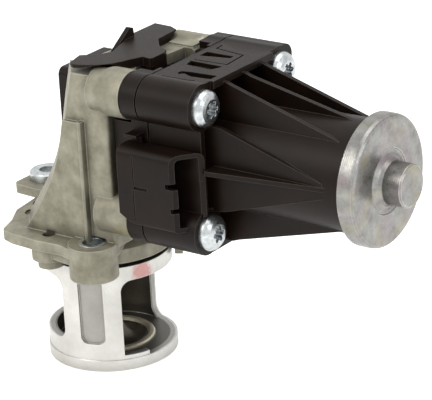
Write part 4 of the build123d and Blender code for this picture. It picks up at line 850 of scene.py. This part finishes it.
@dataclass
class Connector(Replacement):
    """The plug housing: a slanted mouth with notches, and the shallow lines moulded in its side."""

    node: str = "connector_shroud"
    slot: str = "case_plastic"
    bevel_mm: float = 0.25
    across: Pair = (-29.4, -20.5)
    height: Pair = (61.0, 86.4)
    start_x: float = 30.1
    far_x: float = 57.8  # the mouth at the motor's side
    near_x: float = 51.4  # and at the open side
    step_x: float = 1.0  # the mouth steps back by this above step_z
    step_z: float = 77.0
    wall: float = 1.5
    floor_x: float = 40.0  # the socket's floor
    past_mouth: float = 9.0  # how far the tool for the socket runs past the mouth
    corner_radii: tuple[float, ...] = (1.4, 1.4, 2.5, 3.4)
    corner_shrink: float = 1.2  # how much tighter a corner gets for each millimetre inwards
    least_corner: float = 0.5
    corners_off: tuple[Outline, ...] = (  # X and Z
        ((27, 55), (35.5, 55), (35.5, 61.0), (27, 66.1)), ((27, 83), (30.9, 88), (27, 88)),
    )
    marks: tuple[tuple[Pair, Pair, float], ...] = (  # X, Z and depth: two rim notches, then three shallow lines
        ((48.6, 57.8), (75.4, 77.2), 1.7), ((50.2, 57.8), (67.6, 69.2), 1.7),
        ((36.1, 36.5), (74.2, 84.0), 0.4), ((35.9, 36.3), (62.6, 73.2), 0.4), ((36.3, 41.6), (73.2, 74.2), 0.7),
    )
    screw_room: tuple[Point, ...] = ((7.7, 28.0, 57.0), (6.2, 56.6, 62.0))  # radius, start and end
    ledge: tuple[tuple[Point, Point], ...] = (
        ((30.2, -21.6, 85.8), (34.4, -20.5, 88.4)), ((30.0, -24.5, 88.0), (34.6, -20.5, 88.9)),
    )
    spare: float = 5.0  # how far the slanted tool reaches past the housing

    def block(self, inset: float, start: float, end: float) -> Piece:
        """The housing's section pushed along the motor's axis."""
        (near, far), (low, high) = self.across, self.height
        left, right, bottom, top = near + inset, far - inset, low + inset, high - inset
        corners = ((left, bottom), (right, bottom), (right, top), (left, top))
        radii = tuple(max(self.least_corner, radius - self.corner_shrink * inset) for radius in self.corner_radii)
        return prism(rounded(corners, radii), Along.X, start, end)

    def slant(self, near_x: float, low: float) -> Piece:
        """What the slanted mouth takes off above one height."""
        (near, far), spare, end = self.across, self.spare, self.far_x
        lead = (end - near_x) / (far - near) * spare
        mouth = ((near_x - lead, near - spare), (near_x, near), (end, far), (end + lead, far + spare))
        outline = (*mouth, (end + 6 * spare, far + spare), (end + 6 * spare, near - spare))
        return prism(outline, Along.Z, low, self.height[1] + spare)

    def shape(self) -> Piece:
        """The whole housing."""
        near, far = self.across
        takes = [prism(outline, Along.Y, near - OVERRUN, far + OVERRUN) for outline in self.corners_off]
        takes.append(self.slant(self.near_x, self.height[0] - self.spare))
        takes.append(self.slant(self.near_x - self.step_x, self.step_z))
        takes.append(self.block(self.wall, self.floor_x, self.far_x + self.past_mouth))
        for (start, end), (low, high), depth in self.marks:
            takes.append(slab((start, near - OVERRUN, low), (end, near + depth, high)))
        for radius, start, end in self.screw_room:
            takes += [rod(Along.X, centre, radius, start, end) for centre in SCREW_PLACES[:2]]
        piece = worked(self.block(0.0, self.start_x, self.far_x), Cut.TAKE, takes)
        return worked(piece, Cut.JOIN, [slab(*corners) for corners in self.ledge])


@dataclass
class CrownCover(Replacement):
    """The three-armed moulded cover over the casting's crown."""

    node: str = "top_cover"
    slot: str = "case_plastic"
    bevel_mm: float = 0.35
    plate: Outline = (
        (6.4, -15.0), (7.6, -19.6), (8.2, -22.1), (9.2, -22.8), (10.4, -23.0), (12.6, -22.6), (14.7, -21.7),
        (17.7, -20.0), (19.6, -18.4), (21.2, -16.3), (22.6, -13.6), (23.8, -10.4), (25.6, -6.9), (28.6, -7.4),
        (29.2, -6.6), (29.2, -0.5), (28.2, 2.0), (23.3, 4.7), (18.9, 10.2), (18.2, 20.9), (14.6, 22.8),
        (7.8, 23.2), (7.9, 10.4), (13.8, -7.1), (11.4, -11.5),
    )
    plate_z: Pair = (105.5, 108.5)
    finger: Outline = ((26.0, -6.8), (29.2, -6.8), (29.2, 1.4), (26.0, 1.4))
    finger_z: Pair = (100.7, 107.9)
    finger_corner: float = 1.2
    fin: Outline = ((-2.6, 105.5), (9.6, 105.5), (8.8, 111.3), (7.2, 111.9))
    fin_x: Pair = (8.4, 10.0)
    boss_room: float = 8.2  # radius kept free round the two upper screws' bosses
    boss_room_x: Pair = (5.0, 31.0)

    def shape(self) -> Piece:
        """Plate, finger down to the spring chamber, and the fin at its back edge."""
        finger = prism(rounded(self.finger, (self.finger_corner,)), Along.Z, *self.finger_z)
        fin = prism(self.fin, Along.X, *self.fin_x)
        piece = worked(prism(self.plate, Along.Z, *self.plate_z), Cut.JOIN, [finger, fin])
        rooms = [rod(Along.X, centre, self.boss_room, *self.boss_room_x) for centre in SCREW_PLACES[1::2]]
        return worked(piece, Cut.TAKE, rooms)


@dataclass
class GearCase(Replacement):
    """The plate between casting and housing, with the step in its top and the skirt beside the tower."""

    node: str = "gear_case"
    slot: str = "case_plastic"
    step: tuple[Point, Point] = ((29.0, -14.0, 103.2), (35.0, 17.2, 109.0))
    boss: float = 7.6  # radius that the step leaves round each screw
    boss_x: Pair = (28.0, 38.0)
    skirt: Outline = ((23.2, 66.9), (30.6, 66.9), (30.6, 91.4), (23.2, 91.4))
    skirt_y: Pair = (-20.4, -10.8)

    def shape(self) -> Piece:
        """The CAD plate with a wider step and the skirt."""
        bosses = [rod(Along.X, centre, self.boss, *self.boss_x) for centre in SCREW_PLACES]
        piece = worked(self.blank(), Cut.TAKE, [worked(slab(*self.step), Cut.TAKE, bosses)])
        return worked(piece, Cut.JOIN, [prism(self.skirt, Along.Y, *self.skirt_y)])


@dataclass
class Cage(Replacement):
    """The ported sleeve, its shoulder stepped down and its side groove ending in rounded corners."""

    node: str = "valve_cage"
    slot: str = "machined_aluminium"
    shoulder_band: Outline = ((36.7, 18.02), (36.7, 24.0), (37.9, 24.0), (37.9, 18.02))  # taken off its top
    groove_deg: Pair = (-81.0, -58.0)
    groove_floor: float = 20.55  # radius
    outside: float = 21.45  # radius beside the groove
    sill_z: float = 9.6  # the groove's lower end
    corner_mm: float = 2.5
    corner_steps: int = 6
    sunk: float = 0.3  # how far a corner's filling reaches into the metal round it
    inset: float = 0.02  # how far its outer face stays inside the sleeve's

    def corner_outline(self) -> list[Pair]:
        """A hollow rounded corner, as length along the groove's floor and height."""
        size, sill, sunk = self.corner_mm, self.sill_z, self.sunk
        outline = [(-sunk, sill - sunk), (-sunk, sill + size)]
        for step in range(self.corner_steps + 1):
            turn = math.pi / 2 * step / self.corner_steps
            outline.append((size * (1 - math.cos(turn)), sill + size * (1 - math.sin(turn))))
        return [*outline, (size, sill - sunk)]

    def corners(self) -> list[Piece]:
        """What fills the groove's two lower corners."""
        middle = (self.groove_floor + self.outside) / 2
        fills = []
        for angle, way in zip(self.groove_deg, (1.0, -1.0)):
            edge = [(math.radians(angle) + way * along / middle, z) for along, z in self.corner_outline()]
            ends = [
                [Vector((reach * math.cos(turn), reach * math.sin(turn), z)) * MM for turn, z in edge]
                for reach in (self.groove_floor - self.sunk, self.outside - self.inset)
            ]
            fills.append(skinned(ends))
        return fills

    def shape(self) -> Piece:
        """The CAD sleeve with both changes."""
        piece = worked(self.blank(), Cut.JOIN, self.corners())
        return worked(piece, Cut.TAKE, [turned(self.shoulder_band, Along.Z, (0.0, 0.0))])


@dataclass
class MotorHousing(Replacement):
    """The housing, with the moulded pockets and shallow lines in its top, and its lip."""

    node: str = "motor_housing"
    slot: str = "case_plastic"
    top_z: float = 107.4
    fill: tuple[Point, Point] = ((39.2, -13.2, 105.5), (56.6, 13.2, 107.4))
    lip: tuple[Point, Point] = ((56.0, -14.0, 105.0), (58.0, 18.2, 107.4))
    depth: float = 1.6
    line_depth: float = 0.8
    line_width: float = 0.7
    pockets: tuple[Outline, ...] = (
        (
            (42.9, -12.0), (43.1, -10.2), (45.9, -9.6), (56.0, -8.9), (56.0, -12.6), (49.0, -13.4), (45.5, -11.9),
            (43.8, -13.2),
        ),
        ((39.7, -0.6), (52.5, -0.8), (50.4, -5.2), (40.6, -4.4)),
        ((39.0, 9.1), (49.6, 9.1), (49.6, 7.0), (39.0, 4.8)),
    )
    lines: tuple[Outline, ...] = (
        ((40.1, 0.9), (52.2, 1.3), (51.5, 11.3), (39.8, 13.3), (39.6, 16.5)),
        ((40.6, -16.8), (50.1, -16.5), (52.0, -15.9)),
    )

    def strokes(self) -> list[Piece]:
        """The shallow lines, one bar for each run."""
        bars = []
        for line in self.lines:
            for start, end in zip(line, line[1:]):
                run = (Vector(end) - Vector(start)).normalized() * self.line_width / 2
                side = Vector((-run.y, run.x))
                first, last = Vector(start) - run, Vector(end) + run
                outline = tuple(tuple(p) for p in (first - side, last - side, last + side, first + side))
                bars.append(prism(outline, Along.Z, self.top_z - self.line_depth, self.top_z + OVERRUN))
        return bars

    def shape(self) -> Piece:
        """The CAD housing with its top moulded as the real one."""
        piece = worked(self.blank(), Cut.JOIN, [slab(*self.fill), slab(*self.lip)])
        bottom, top = self.top_z - self.depth, self.top_z + OVERRUN
        cuts = [prism(outline, Along.Z, bottom, top) for outline in self.pockets]
        return worked(piece, Cut.TAKE, [*cuts, *self.strokes()])


@dataclass
class Studio:
    """Floor, soft lights, pale world and the camera, in metres."""

    floor_z: float = -0.2 * MM
    floor_half: float = 3.0
    camera_at: Point = (0.49208, -0.59907, 0.35411)
    azimuth_deg: float = 36.6628
    elevation_deg: float = 21.4134
    roll_deg: float = -3.09127
    lens_mm: float = 208.884
    sensor_mm: float = 36.0
    clip: Pair = (0.01, 100.0)
    aim: Point = (0.04, 0.0, 0.055)
    ambient: float = 0.34  # how strongly the world lights the object, against 1 where it is seen
    floor_tone: str = "f4f4f4"
    floor_roughness: float = 0.9
    floor_glow: float = 0.75
    lamps: tuple[tuple[str, Point, float, float, str], ...] = (  # name, place, side, watts, colour
        ("key_softbox", (-0.25, -0.75, 0.75), 0.5, 4.2, "fffdf8"),
        ("top_softbox", (0.15, 0.15, 0.95), 0.7, 3.0, "ffffff"),
        ("side_softbox", (0.95, -0.1, 0.45), 0.4, 1.8, "f6faff"),
    )

    def view_axes(self) -> tuple[Vector, Vector, Vector]:
        """The camera's right, up and backward directions."""
        azimuth, elevation, roll = (math.radians(a) for a in (self.azimuth_deg, self.elevation_deg, self.roll_deg))
        level = math.cos(elevation)
        back = Vector((math.sin(azimuth) * level, -math.cos(azimuth) * level, math.sin(elevation)))
        right = Vector((math.cos(azimuth), math.sin(azimuth), 0.0))
        up = back.cross(right)
        return (
            math.cos(roll) * right + math.sin(roll) * up,
            -math.sin(roll) * right + math.cos(roll) * up,
            back,
        )

    def camera(self) -> None:
        """Makes the camera and sets it as the scene's."""
        data = bpy.data.cameras.new("view_camera")
        data.sensor_fit = "HORIZONTAL"
        data.sensor_width = self.sensor_mm
        data.lens = self.lens_mm
        data.clip_start, data.clip_end = self.clip
        camera = bpy.data.objects.new("view_camera", data)
        right, up, back = self.view_axes()
        turn = Matrix((right, up, back)).transposed().to_4x4()
        camera.matrix_world = Matrix.Translation(self.camera_at) @ turn
        bpy.context.scene.collection.objects.link(camera)
        bpy.context.scene.camera = camera

    def lamp(self, name: str, at: Point, size: float, power: float, tint: str) -> None:
        """Adds one soft box that points at the object.

        Args:
            name: The lamp's name.
            at: Where it stands.
            size: Side of the square soft box.
            power: Its power in watts.
            tint: Its colour as hex.
        """
        data = bpy.data.lights.new(name, "AREA")
        data.shape, data.size, data.energy = "SQUARE", size, power
        data.color = linear(tint)[:3]
        lamp = bpy.data.objects.new(name, data)
        lamp.location = at
        lamp.rotation_mode = "QUATERNION"
        lamp.rotation_quaternion = (Vector(self.aim) - Vector(at)).to_track_quat("-Z", "Y")
        bpy.context.scene.collection.objects.link(lamp)

    def floor(self) -> None:
        """A white floor that keeps the object's shadow."""
        half = self.floor_half
        mesh = bpy.data.meshes.new("floor")
        corners = [(x * half, y * half, self.floor_z) for x, y in ((-1, -1), (1, -1), (1, 1), (-1, 1))]
        mesh.from_pydata(corners, [], [(0, 1, 2, 3)])
        floor = bpy.data.objects.new("floor", mesh)
        material = bpy.data.materials.new("paper_matte_white")
        material.use_nodes = True
        tree = material.node_tree
        shader = tree.nodes["Principled BSDF"]
        shader.inputs["Base Color"].default_value = linear(self.floor_tone)
        shader.inputs["Roughness"].default_value = self.floor_roughness
        glow = combined(tree, "MULTIPLY", self.background_ray(tree), self.floor_glow)
        shader.inputs["Emission Color"].default_value = (1.0, 1.0, 1.0, 1.0)
        tree.links.new(glow, shader.inputs["Emission Strength"])
        mesh.materials.append(material)
        bpy.context.scene.collection.objects.link(floor)

    def background_ray(self, tree: Tree) -> Socket:
        """1 where the background is looked at directly, or in metal or glass, and 0 where it only lights."""
        rays = add_node(tree, "ShaderNodeLightPath").outputs
        first = combined(tree, "MAXIMUM", rays["Is Camera Ray"], rays["Is Glossy Ray"])
        return combined(tree, "MAXIMUM", first, rays["Is Transmission Ray"])

    def world(self) -> None:
        """A white world that lights the object at a plain level."""
        world = bpy.data.worlds.new("studio")
        world.use_nodes = True
        tree = world.node_tree
        background = tree.nodes["Background"]
        background.inputs["Color"].default_value = (1.0, 1.0, 1.0, 1.0)
        level = remapped(tree, self.background_ray(tree), (0.0, 1.0), (self.ambient, 1.0))
        tree.links.new(level, background.inputs["Strength"])
        bpy.context.scene.world = world

    def build(self) -> None:
        """Sets up the whole studio."""
        scene = bpy.context.scene
        scene.view_settings.view_transform = "Standard"
        self.world()
        self.floor()
        for lamp in self.lamps:
            self.lamp(*lamp)
        self.camera()


def main() -> None:
    """Builds the looks in order."""
    logging.basicConfig(level=logging.INFO, format="%(message)s")
    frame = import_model()
    nodes = frame["nodes"]
    dressing = Dressing(nodes)
    dressing.build()
    for kind in (CastBody, Cage, Connector, CrownCover, GearCase, MotorHousing):
        kind(nodes, dressing).build()
    Studio().build()


if __name__ == "__main__":
    main()
